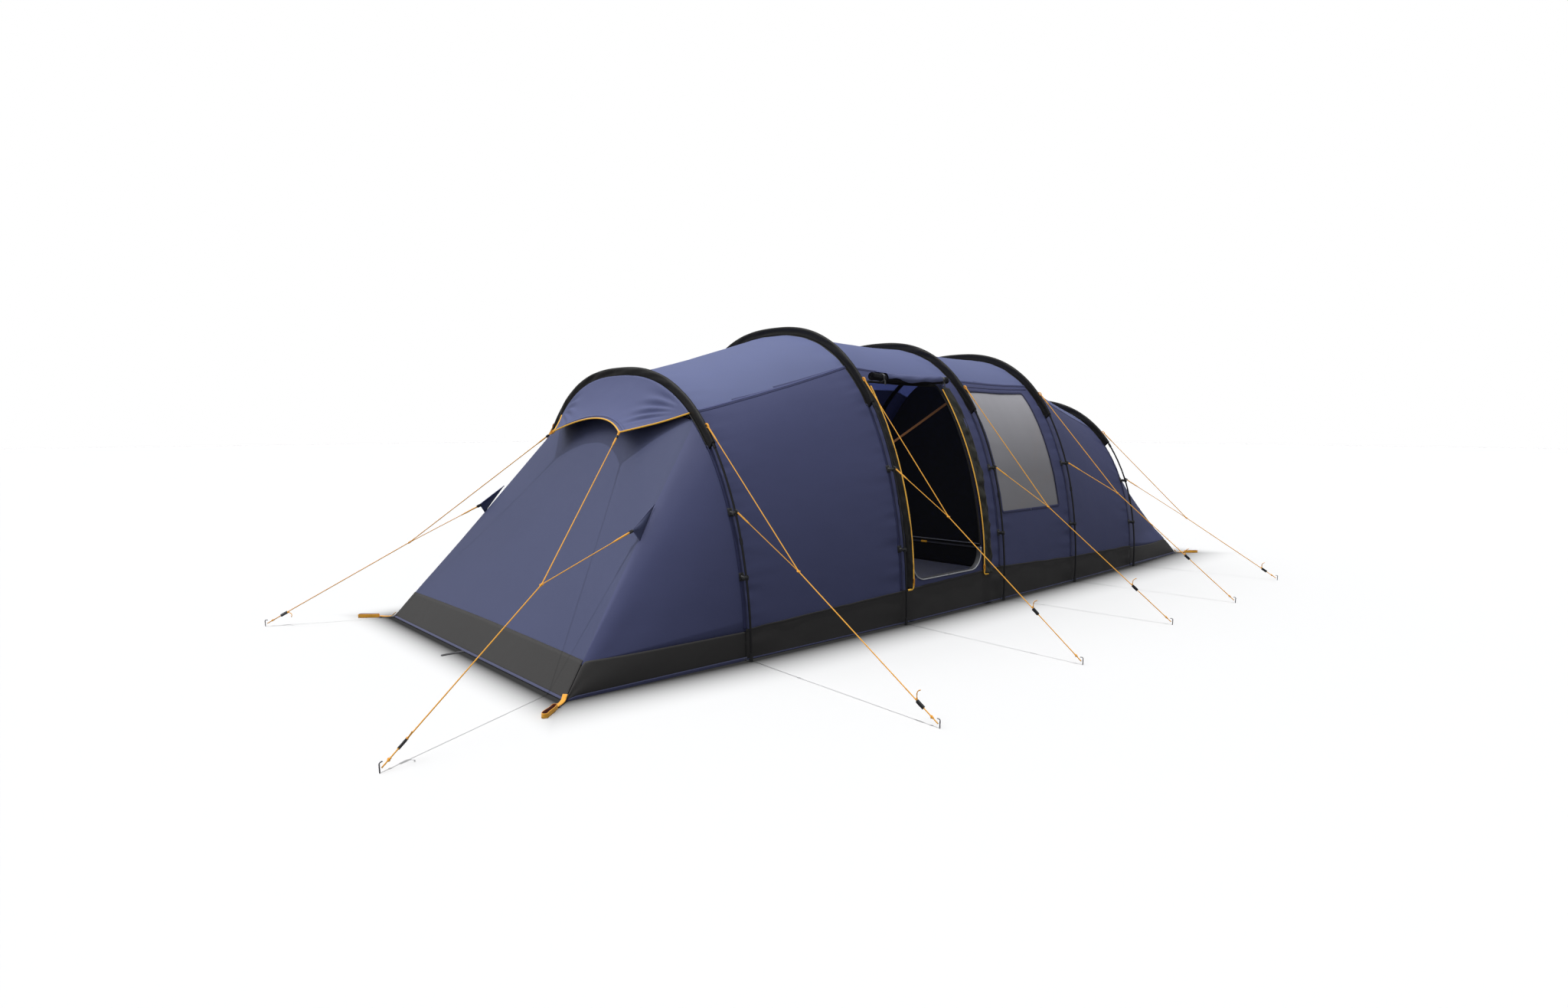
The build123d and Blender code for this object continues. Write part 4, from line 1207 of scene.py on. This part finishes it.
def tape_taper(share, turn):
    """The doubled tape is flat, narrows at its end and shows its stitches."""
    flat = 0.78 + 0.22 * abs(cos(turn))
    return flat * (1.0 - 0.30 * smooth((share - 0.75) / 0.25)) * (1 + 0.05 * sin(share * 60))


def make_guy_webbing(name, top, low, junction):
    """A tape ring on the sleeve or clip, and the doubled tape on the first stretch of each line."""
    for word, start, material, slot in (("top", top, ORANGE_WEB, "orange_webbing"),
                                        ("low", low, DARK_WEB, "grey_webbing")):
        along = (junction - start).normalized()
        path = [start + along * s for s in steps(0.004, WEB_LENGTH, 20)]
        tape = tube(f"guy_tape_{word}_{name}", path, WEB_R, ORANGE_WEB, 10, shape=tape_taper)
        on_tent(tape, "orange_webbing")
        ring(f"guy_ring_{word}_{name}", start - along * 0.010, along, 0.017, 0.0075, 0.012, material, slot)


for name, _, points, _, _ in all_guys():
    make_guy_webbing(name, *points[:3])


# ---------------------------------------------------------------- clips and straps on the legs
CLIP_WIDE, CLIP_ROUND = 0.022, 0.0125
PATCH_WIDE, PATCH_HIGH = 0.036, 0.0468


def pole_point(n, side, z):
    """The centre of a pole's leg."""
    half, top = FOOT_HALF[n], ARCH_TOP[n] - 0.012
    return Vector((side * arch_xz(half, top, angle_at(top, z))[0], ARCH_Y[n], z))


def make_clip_tape(n, word, side, z, name):
    """A tape from the fly round the pole and back, sewn down on a patch."""
    y = ARCH_Y[n]
    inner, outer = fly_at(y, z, side, 0.003), pole_point(n, side, z)
    route = [(inner.x, y - 0.004)]
    for turn in steps(radians(-115), radians(115), 14):
        route.append((outer.x + side * CLIP_ROUND * cos(turn), outer.y + CLIP_ROUND * sin(turn)))
    route.append((inner.x, y + 0.004))
    rows = surface(route, (-0.5, 0.0, 0.5), lambda spot, s: Vector((*spot, z + CLIP_WIDE * s)))
    cloth(f"clip_tape_{n + 1}_{word}_{name}", rows, DARK_WEB, "grey_webbing", thickness=0.0016)
    rows = surface(steps(-0.5, 0.5, 4), steps(-0.5, 0.5, 4),
                   lambda up, s: fly_at(y + PATCH_WIDE * s, z + PATCH_HIGH * up, side, 0.0040))
    cloth(f"clip_patch_{n + 1}_{word}_{name}", rows, DARK_WEB, "grey_webbing")


CLIP_Z = {"high": [0.840, 1.040, 1.010, 1.010, 0.810], "low": [0.480, 0.510, 0.520, 0.500, 0.420]}
for n in ARCHES:
    for word, side in SIDES.items():
        for name, heights in CLIP_Z.items():
            make_clip_tape(n, word, side, heights[n], name)


# ---------------------------------------------------------------- corner straps and peg loops
def corner_places():
    for end, (base_y, half) in (("front", (-END_Y, FRONT_HALF)), ("rear", (END_Y, REAR_HALF))):
        for word, side in SIDES.items():
            heading = Vector((side * 0.632, 0.775 if base_y > 0 else -0.775, 0))
            yield f"{end}_{word}", Vector((side * half, base_y, 0)), heading


LOOP_START, LOOP_LENGTH, LOOP_WIDTH, LOOP_NARROW = 0.095, 0.150, 0.034, 0.72
# The strap from the hem down to the ground, as (run, height).
STRAP_PROFILE = ((-0.012, 0.034), (0.000, 0.024), (0.010, 0.014), (0.024, 0.009), (0.045, 0.0075),
                 (0.066, 0.0078), (0.081, 0.0088), (0.090, 0.0100), (0.099, 0.0088))


def loop_plan():
    """The corner loop seen from above, as (run, wide): a round end, and a narrower one at the strap."""
    round_r = LOOP_WIDTH / 2 - 0.0015
    first, last = LOOP_START + LOOP_WIDTH / 2, LOOP_START + LOOP_LENGTH - LOOP_WIDTH / 2
    plan = []
    for middle, radius, start in ((last, round_r, -90), (first, round_r * LOOP_NARROW, 90)):
        for turn in steps(radians(start), radians(start + 180), 14):
            plan.append((middle + radius * cos(turn), radius * sin(turn)))
        far = first if middle == last else last
        for run in steps(middle, far, 8)[1:-1]:
            wide = round_r * mix(LOOP_NARROW, 1, (run - first) / (last - first))
            plan.append((run, wide if middle == last else -wide))
    return plan + [plan[0]], first, last


def make_corner(name, place, heading):
    across = heading.cross(UP)
    path = [place + heading * run + UP * high for run, high in STRAP_PROFILE]
    strap = ribbon(f"corner_strap_{name}", path, 0.025, ORANGE_WEB, UP, 0.0022)
    on_tent(strap, "orange_webbing", "corner_webbing")
    plan, first, last = loop_plan()
    rows, inside = [], []
    for run, wide in plan:
        lean = 0.0022 * sin(run * 70)
        base = place + heading * run + across * wide
        row = [base + UP * (0.0012 + 0.0232 * s) + across * (lean * s) for s in steps(0, 1, 5)]
        middle = place + heading * min(max(run, first), last)
        rows.append(row)
        inside.append([p.lerp(middle + UP * p.z, 0.09) for p in row])
    cloth(f"corner_loop_{name}", rows, ORANGE_WEB, "orange_webbing", "corner_webbing", thickness=0.0022)
    # The inside of each loop is a second sheet in the darker webbing: painted shade.
    cloth(f"corner_loop_painted_shade_{name}", inside, LOOP_SHADE_WEB, "orange_webbing", thickness=0.0008)


for name, place, heading in corner_places():
    make_corner(name, place, heading)

for word in SIDES:
    top, junction = Vector(FRONT_GUYS[word][0]), Vector(FRONT_GUYS[word][2])
    path = [toward(top, junction, 0.022 + s) for s in steps(0, 0.024, 8)]
    bead = tube(f"hood_toggle_{word}", path, 0.0085, PLASTIC, 12,
                shape=lambda share, turn: 0.75 + 0.25 * sin(pi * share))
    on_tent(bead, "black_plastic")

# ---------------------------------------------------------------- the door
ROLL_Y = (DOOR_Y[0] + 0.020, DOOR_Y[1] + 0.095)
ROLL_R = 0.032
ROLL_TURNS = 9
ROLL_HANG = 0.016


def wall_point(y, z):
    return plain(y, wall_angle(y, z))


def roll_centre(y):
    z = DOOR_Z[1] + 0.014
    slope = wall_point(y, z - 0.02) - wall_point(y, z + 0.02)
    out = Vector((0.04, 0, slope.x)).normalized()
    return wall_point(y, z) + out * (ROLL_R + 0.006)


ROLL_ENDS = [roll_centre(y) for y in ROLL_Y]
ROLL_LENGTH = (ROLL_ENDS[1] - ROLL_ENDS[0]).length
ROLL_ALONG = (ROLL_ENDS[1] - ROLL_ENDS[0]).normalized()
ROLL_SIDE = ROLL_ALONG.cross(UP).normalized()
ROLL_OVER = ROLL_SIDE.cross(ROLL_ALONG)
ROLL_TIES = (0.115, ROLL_LENGTH - 0.060)
HEADER_ENDS = (0.150, ROLL_LENGTH - 0.085)


def roll_middle(run):
    return ROLL_ENDS[0] + ROLL_ALONG * run - UP * (ROLL_HANG * sin(pi * run / ROLL_LENGTH))


def roll_spot(run, turn, size, flat=1.0):
    """A point round the roll at one run along it."""
    return roll_middle(run) + ROLL_SIDE * cos(turn) * size + ROLL_OVER * sin(turn) * size * flat


def roll_squeeze(run):
    """The ties draw the roll in."""
    slim = 0.16 * sin(pi * run / ROLL_LENGTH)
    return 1 - slim - 0.14 * sum(exp(-((run - tie) / 0.030) ** 2) for tie in ROLL_TIES)


def make_door_roll():
    """The door's cloth, rolled up tight: a spiral that wanders a little along its length."""
    whole = 2 * pi * ROLL_TURNS

    def place(run, turn):
        share = turn / whole
        lump = 1 + 0.13 * ripple((cos(turn) * 0.9, sin(turn) * 0.9, run * 7), 4.0) * share
        lump *= 1 + 0.05 * ripple((cos(turn) * 3, sin(turn) * 3, run * 26), 8.0) * share
        size = (0.003 + (ROLL_R - 0.0055) * share) * roll_squeeze(run) * min(lump, 1.10)
        return roll_spot(run, turn, size, 0.94)
    rows = surface(steps(0, ROLL_LENGTH, 66), steps(0, whole, 26 * ROLL_TURNS), place)
    roll = cloth("rolled_door", rows, DOOR_CLOTH, "fly_cloth", "door_roll", thickness=0.0011)


def make_door_ties():
    for number, run in enumerate(ROLL_TIES, 1):
        def place(turn, share):
            size = ROLL_R * roll_squeeze(run) * 1.02 + 0.0006 * sin(3 * turn)
            return roll_spot(run, turn, size) + ROLL_ALONG * (0.020 * share)
        rows = surface(steps(0, 2 * pi, 40), FIFTHS, place)
        cloth(f"door_tie_{number}", rows, GREY_WEB, "grey_webbing", "door_roll_straps", thickness=0.0020,
              offset=1.0)
        centre = roll_middle(run)
        middle = centre + ROLL_SIDE * 0.034 + ROLL_ALONG * 0.002
        bar = [middle + ROLL_OVER * high for high in steps(-0.016, 0.016, 8)]
        on_tent(tube(f"door_toggle_{number}", bar, 0.0045, PLASTIC, 10, ROLL_ALONG), "black_plastic")
        tail = []
        for share in steps(0, 1, 8):
            tail.append(centre + ROLL_SIDE * (0.031 + 0.004 * share) - ROLL_OVER * (0.012 + 0.040 * share))
        on_tent(ribbon(f"door_tie_tail_{number}", tail, 0.014, GREY_WEB, ROLL_SIDE, 0.0016), "grey_webbing")


def make_door_header():
    """The fly's loose edge above the door, which hangs over the upper half of the roll."""
    first, last = HEADER_ENDS

    def place(run, step):
        size = ROLL_R * roll_squeeze(run) + 0.006
        low = -0.15 + 0.55 * ripple((run * 6, 4.0, 1.0)) - 0.25 * sin(pi * (run - first) / (last - first))
        top = fly_at(roll_middle(run).y, DOOR_Z[1] + 0.085, 1, 0.003)
        wave = 1 + 0.16 * ripple((run * 9 + step * 2, step * 2.5, 2.0)) * step
        return top.lerp(roll_spot(run, mix(2.3, low, step), size * wave), smooth(step / 0.34))
    rows = surface(steps(first, last, 70), steps(0, 1, 18), place)
    header = cloth("door_header", rows, HOOD, "fly_cloth", thickness=0.0014, offset=1.0)


make_door_roll()
make_door_ties()
make_door_header()

ZIP_FROM_EDGE, ZIP_STAND_OFF = 0.014, 0.020
ZIP_Z, ZIP_HOOK = (0.250, 1.600), 0.022


def zip_arc(y):
    """Centre (x, z) and radius of the arc through three points off the wall."""
    points = []
    for z in steps(*ZIP_Z, 2):
        points.append((wall_point(y, z).x + ZIP_STAND_OFF, z))
    (ax, az), (bx, bz), (cx, cz) = points
    d = 2 * (ax * (bz - cz) + bx * (cz - az) + cx * (az - bz))
    a, b, c = (x * x + z * z for x, z in points)
    x = (a * (bz - cz) + b * (cz - az) + c * (az - bz)) / d
    z = (a * (cx - bx) + b * (ax - cx) + c * (bx - ax)) / d
    return x, z, hypot(ax - x, az - z)


def zip_x(y, z):
    x, middle, radius = zip_arc(y)
    return x + (radius * radius - (z - middle) ** 2) ** 0.5


def boxes(name, places, size, material):
    """Many small blocks in one mesh. Each place is its centre and three directions."""
    points, faces = [], []
    corners = [(i, j, k) for i in (-0.5, 0.5) for j in (-0.5, 0.5) for k in (-0.5, 0.5)]
    sides = ((0, 1, 3, 2), (4, 6, 7, 5), (0, 4, 5, 1), (2, 3, 7, 6), (0, 2, 6, 4), (1, 5, 7, 3))
    for centre, a, b, c in places:
        first = len(points)
        for i, j, k in corners:
            points.append(centre + a * (i * size[0]) + b * (j * size[1]) + c * (k * size[2]))
        faces += [tuple(first + v for v in side) for side in sides]
    return new_object(name, points, faces, material, False)


def make_zip(word, y, away, flap_width, flap_material):
    """Orange tape with its coil, hooked outwards at the foot, on a dark flap from the wall."""
    def spot(z, aside=0.0):
        return Vector((zip_x(y, z), y + away * aside, z))
    foot = ZIP_Z[0] - ZIP_HOOK
    path = [spot(foot, aside) for aside in steps(0.058, 0.026, 3)]
    for turn in steps(pi / 2, 0, 8)[:-1]:
        path.append(spot(ZIP_Z[0] - ZIP_HOOK * sin(turn), ZIP_HOOK * (1 - cos(turn))))
    path += [spot(z) for z in steps(*ZIP_Z, 90)]
    tape = ribbon(f"zip_tape_{word}", path, 0.0125, PIPING, Vector((1, 0, 0.12)), 0.0018, 0.0006)
    on_tent(tape, "zip_tape", "door_zips")
    places = []
    for k, z in enumerate(steps(*ZIP_Z, 270)):
        up = (spot(z + 0.01) - spot(z)).normalized()
        out = Vector((up.z, 0, -up.x))
        shift = Vector((0, 0.0011 if k % 2 else -0.0011, 0))
        places.append((spot(z) + out * 0.0014 + shift, out, LENGTHWISE, up))
    on_tent(boxes(f"zip_coil_{word}", places, (0.0016, 0.0034, 0.0026), PIPING), "zip_tape")

    def place(z, share):
        gather = ripple((share * 2.5, z * 7, away)) + 0.6 * ripple((share * 4, z * 19, away))
        lift = sin(pi * share) ** 0.6 * (0.010 + flap_width * 0.26 * gather)
        edge = spot(z, 0.004) - Vector((0.0025, 0, 0))
        base = fly_at(y + away * flap_width, z, 1, 0.002)
        return base.lerp(edge, share) + Vector((max(lift, -0.004), 0, 0))
    rows = surface(steps(0.235, 1.615, 120), steps(0, 1, 16), place)
    flap = cloth(f"zip_flap_{word}", rows, flap_material, "black_cloth", thickness=0.0014)


make_zip("front", DOOR_Y[0] - ZIP_FROM_EDGE, -1, 0.046, SLEEVE)
make_zip("rear", DOOR_Y[1] + ZIP_FROM_EDGE, 1, 0.128, CURTAIN)


# The lip's section, as (towards the middle of the door, inwards from the wall).
LIP_PROFILE = ((-0.004, -0.0045), (0.002, 0.000), (0.004, 0.008), (0.006, 0.018), (0.008, 0.030))


def make_door_edge():
    """Dark binding up both jambs and over the head, the pale rim of the sill, and its lip in painted shade.
    """
    middle = DOOR_Z[0] + 0.16
    route = outline(DOOR_Y, DOOR_Z, DOOR_CORNER, 0.02, 0.004, 0.02)
    upper = [spot for spot in route if spot[1] > middle]
    wall_tape("door_binding", upper, 0.016, SLEEVE, "black_cloth", 1, 0.0015, 0.0026)
    sill = outline(DOOR_Y, DOOR_Z, DOOR_CORNER, 0.02, 0.0, 0.014)
    half = len(sill) // 2
    rows, rim = [], []
    for y, z in sill[half:] + sill[:half]:
        if z <= middle:
            inward = Vector((sum(DOOR_Y) / 2 - y, middle - z)).normalized()
            edge = wall_point(y, z)
            row = [edge + Vector((-deep, inward.x * far, inward.y * far)) for far, deep in LIP_PROFILE]
            rows.append(row)
            rim.append(edge + Vector((0.0045, 0, 0)))
    on_tent(tube("door_sill_rim", rim, 0.0042, PALE_SHEET, 8, Vector((1, 0, 0))), "floor_sheet")
    cloth("door_sill_lip", rows, SHADED_LIP_SHEET, "floor_sheet", thickness=0.0016)


make_door_edge()


# ---------------------------------------------------------------- the window
def make_window():
    def place(y, z):
        return fly_at(y, z, 1, 0.0022 * ripple((y * 3.2, z * 2.6, 1.0)) - 0.0052)
    y_values = steps(WINDOW_Y[0] - 0.012, WINDOW_Y[1] + 0.012, 60)
    z_values = steps(WINDOW_Z[0] - 0.012, WINDOW_Z[1] + 0.012, 64)
    rows = surface(y_values, z_values, place)
    pane = cloth("window_film", rows, WINDOW, "window_film", "window_pane", thickness=0.0008, offset=-1.0)
    route = outline(WINDOW_Y, WINDOW_Z, WINDOW_CORNER, WINDOW_CORNER, 0.007, 0.02)
    wall_tape("window_binding", route, 0.018, SIDE_SEAM, "fly_cloth", 1, 0.0020, 0.0018, closed=True)
    pale = outline(WINDOW_Y, WINDOW_Z, 0.004, 0.004, -0.006, 0.02)
    left = [spot for spot in pale if spot[0] < WINDOW_Y[0] + 0.008]
    wall_tape("window_edge", left, 0.010, PALE_SHEET, "window_film", 1, -0.0022, 0.0010)
    header = [(y, WINDOW_Z[1] + 0.036) for y in steps(ARCH_Y[2] + 0.03, ARCH_Y[3] - 0.03, 40)]
    wall_tape("window_header_seam", header, 0.010, SIDE_SEAM, "fly_cloth", 1, 0.0018)


make_window()

# ---------------------------------------------------------------- inside
ROOM_IN_SIDE, ROOM_IN_TOP = 0.165, 0.082
FRONT_ROOM, REAR_ROOM = (-2.405, -1.120), (1.200, 2.385)
FAR_LEAN = -0.02


def room_size(y):
    half, top = fabric_size(y)
    return half - ROOM_IN_SIDE, top - ROOM_IN_TOP


def make_room_wall(name, y, lean, node_name):
    """An upright wall with soft upright folds. lean is how far its top stands back."""
    half, top = room_size(y)

    def place(share, u):
        z = mix(0.004, top * 0.9985, share)
        x = half * (1 - (z / top) ** HEIGHT_POWER) ** (1 / WIDTH_POWER) * u
        fold = 0.010 * ripple((x * 3.4, z * 0.7, y)) + 0.004 * ripple((x * 11, z * 1.3, y))
        fold *= smooth(z / 0.25) * smooth((1.02 - share) / 0.2)
        return Vector((x, y + lean * z / top + fold, z))
    rows = surface(steps(0, 1, 60), steps(-1, 1, 70), place)
    wall = cloth(name, rows, INNER, "inner_cloth", node_name, thickness=0.0010)


def make_room(word, ends, lean):
    """Two walls, which lean into the room, and the canopy between them."""
    y0, y1 = ends
    node_name = f"inner_room_{word}"
    make_room_wall(f"{word}_room_wall_near", y0 + 0.004, lean, node_name)
    make_room_wall(f"{word}_room_wall_far", y1 - 0.004, FAR_LEAN, node_name)

    def place(y, angle):
        half, top = room_size(y)
        share = (y - y0) / (y1 - y0)
        hung = 0.018 * (1 - cos(2 * pi * share * 3)) / 2 * sin(angle)
        x, z = arch_xz(half - 0.004 - hung, top - 0.004 - hung, angle)
        return Vector((x, y + mix(lean, FAR_LEAN, share) * z / top, z))
    rows = surface(steps(y0 + 0.010, y1 - 0.010, 40), steps(0.03, pi - 0.03, 110), place)
    canopy = cloth(f"{word}_room_canopy", rows, INNER, "inner_cloth", node_name, thickness=0.0010)


make_room("rear", REAR_ROOM, 0.10)
make_room("front", FRONT_ROOM, 0.03)


def make_room_strip():
    """The pale tape along the foot of the rear room's front wall, with a toggle."""
    y = REAR_ROOM[0] - 0.006
    for name, z, width, material in (("upper", 0.232, 0.010, PALE_SHEET), ("lower", 0.196, 0.016, GREY_WEB)):
        path = []
        for x in steps(-1.05, 1.05, 50):
            path.append(Vector((x, y - 0.002 * sin(x * 5), z + 0.006 * sin(x * 2.1))))
        strip = ribbon(f"room_strip_{name}", path, width, material, Vector((0, -1, 0)), 0.0014)
        on_tent(strip, "grey_webbing")
    bar = [Vector((x, y - 0.008, 0.196)) for x in steps(-0.315, -0.255, 8)]
    on_tent(tube("room_toggle", bar, 0.010, ORANGE_WEB, 10, UP), "orange_webbing")


def make_groundsheet():
    """The floor, from hem to hem, with the small waves of a sheet laid on grass."""
    spots = [-END_Y, ARCH_Y[0], ARCH_Y[4], END_Y]
    halves = [FRONT_HALF - 0.014, fabric_size(ARCH_Y[0])[0] - 0.010, fabric_size(ARCH_Y[4])[0] - 0.010,
              REAR_HALF - 0.014]

    def place(y, u):
        if y < spots[1]:
            half = mix(halves[0], halves[1], (y - spots[0]) / (spots[1] - spots[0]))
        elif y > spots[2]:
            half = mix(halves[3], halves[2], (spots[3] - y) / (spots[3] - spots[2]))
        else:
            half = fabric_size(y)[0] - 0.010
        wave = 0.0022 * (1 + ripple((u * 5, y * 4, 0.0))) * (1 - u ** 8)
        return Vector((half * u, y, 0.0012 + wave))
    rows = surface(steps(-END_Y + 0.016, END_Y - 0.016, 150), steps(1, -1, 60), place)
    floor = cloth("floor_cloth", rows, FLOOR_CLOTH, "floor_sheet", "groundsheet", thickness=0.0008)


def make_brace():
    """The webbing brace across the third arch, with its three-bar slide."""
    start, end = Vector((0.835, ARCH_Y[2], 1.560)), Vector((-1.190, ARCH_Y[2], 0.400))
    path = [start.lerp(end, s) - Vector((0, 0, 0.006)) * sin(pi * s) for s in steps(0, 1, 60)]
    tape = ribbon("brace_tape", path, 0.020, BRACE_WEB, Vector((0, -1, 0)), 0.0018)
    on_tent(tape, "orange_webbing", "tension_strap")
    along = (end - start).normalized()
    across = along.cross(LENGTHWISE)
    centre = start.lerp(end, 0.80)
    bars = [(centre + along * s, along, LENGTHWISE, across) for s in (-0.012, 0.0, 0.012)]
    slide = boxes("brace_slide", bars, (0.005, 0.007, 0.034), PLASTIC)
    edge = slide.modifiers.new("edges", "BEVEL")
    edge.width, edge.segments, edge.limit_method = 0.001, 2, "ANGLE"
    on_tent(slide, "black_plastic")


make_room_strip()
make_groundsheet()
make_brace()


# ---------------------------------------------------------------- knots and tails on the runners
def make_runner_knot(name, junction, peg, distance):
    """The end of the line, knotted above its runner."""
    along = (junction - peg).normalized()
    side = LENGTHWISE.cross(along).normalized()
    at = peg + along * (distance + 0.028) + side * 0.0046
    tied = knot(f"runner_knot_{name}", at, along, 0.0024, 0.0024)
    tail = [at + side * (0.004 + 0.048 * s) + along * (0.016 * sin(2.6 * s)) for s in steps(0, 1, 10)]
    loose = tube(f"runner_tail_{name}", tail, 0.0024, GUY, 8, LENGTHWISE)
    for piece in (tied, loose):
        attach(piece, f"runner_{name}")


for name, _, points, _, runner in all_guys():
    make_runner_knot(name, points[2], points[3], runner)

# ---------------------------------------------------------------- finishes for the parts from model.glb
FINISH = {
    "arch_pole": POLE, "runner": PLASTIC, "zip_slider": ORANGE_HARD, "pole_ferrules": FERRULE,
    "pole_clips": PLASTIC, "pole_feet": PLASTIC, "foot_straps": DARK_WEB, "corner_buckles": BUCKLE,
    "front_elastic_loop": ELASTIC, "guy_pegs": STEEL,
}
for name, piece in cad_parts.items():
    for start, finish in FINISH.items():
        if name.startswith(start):
            for place in piece.material_slots:
                place.material = finish
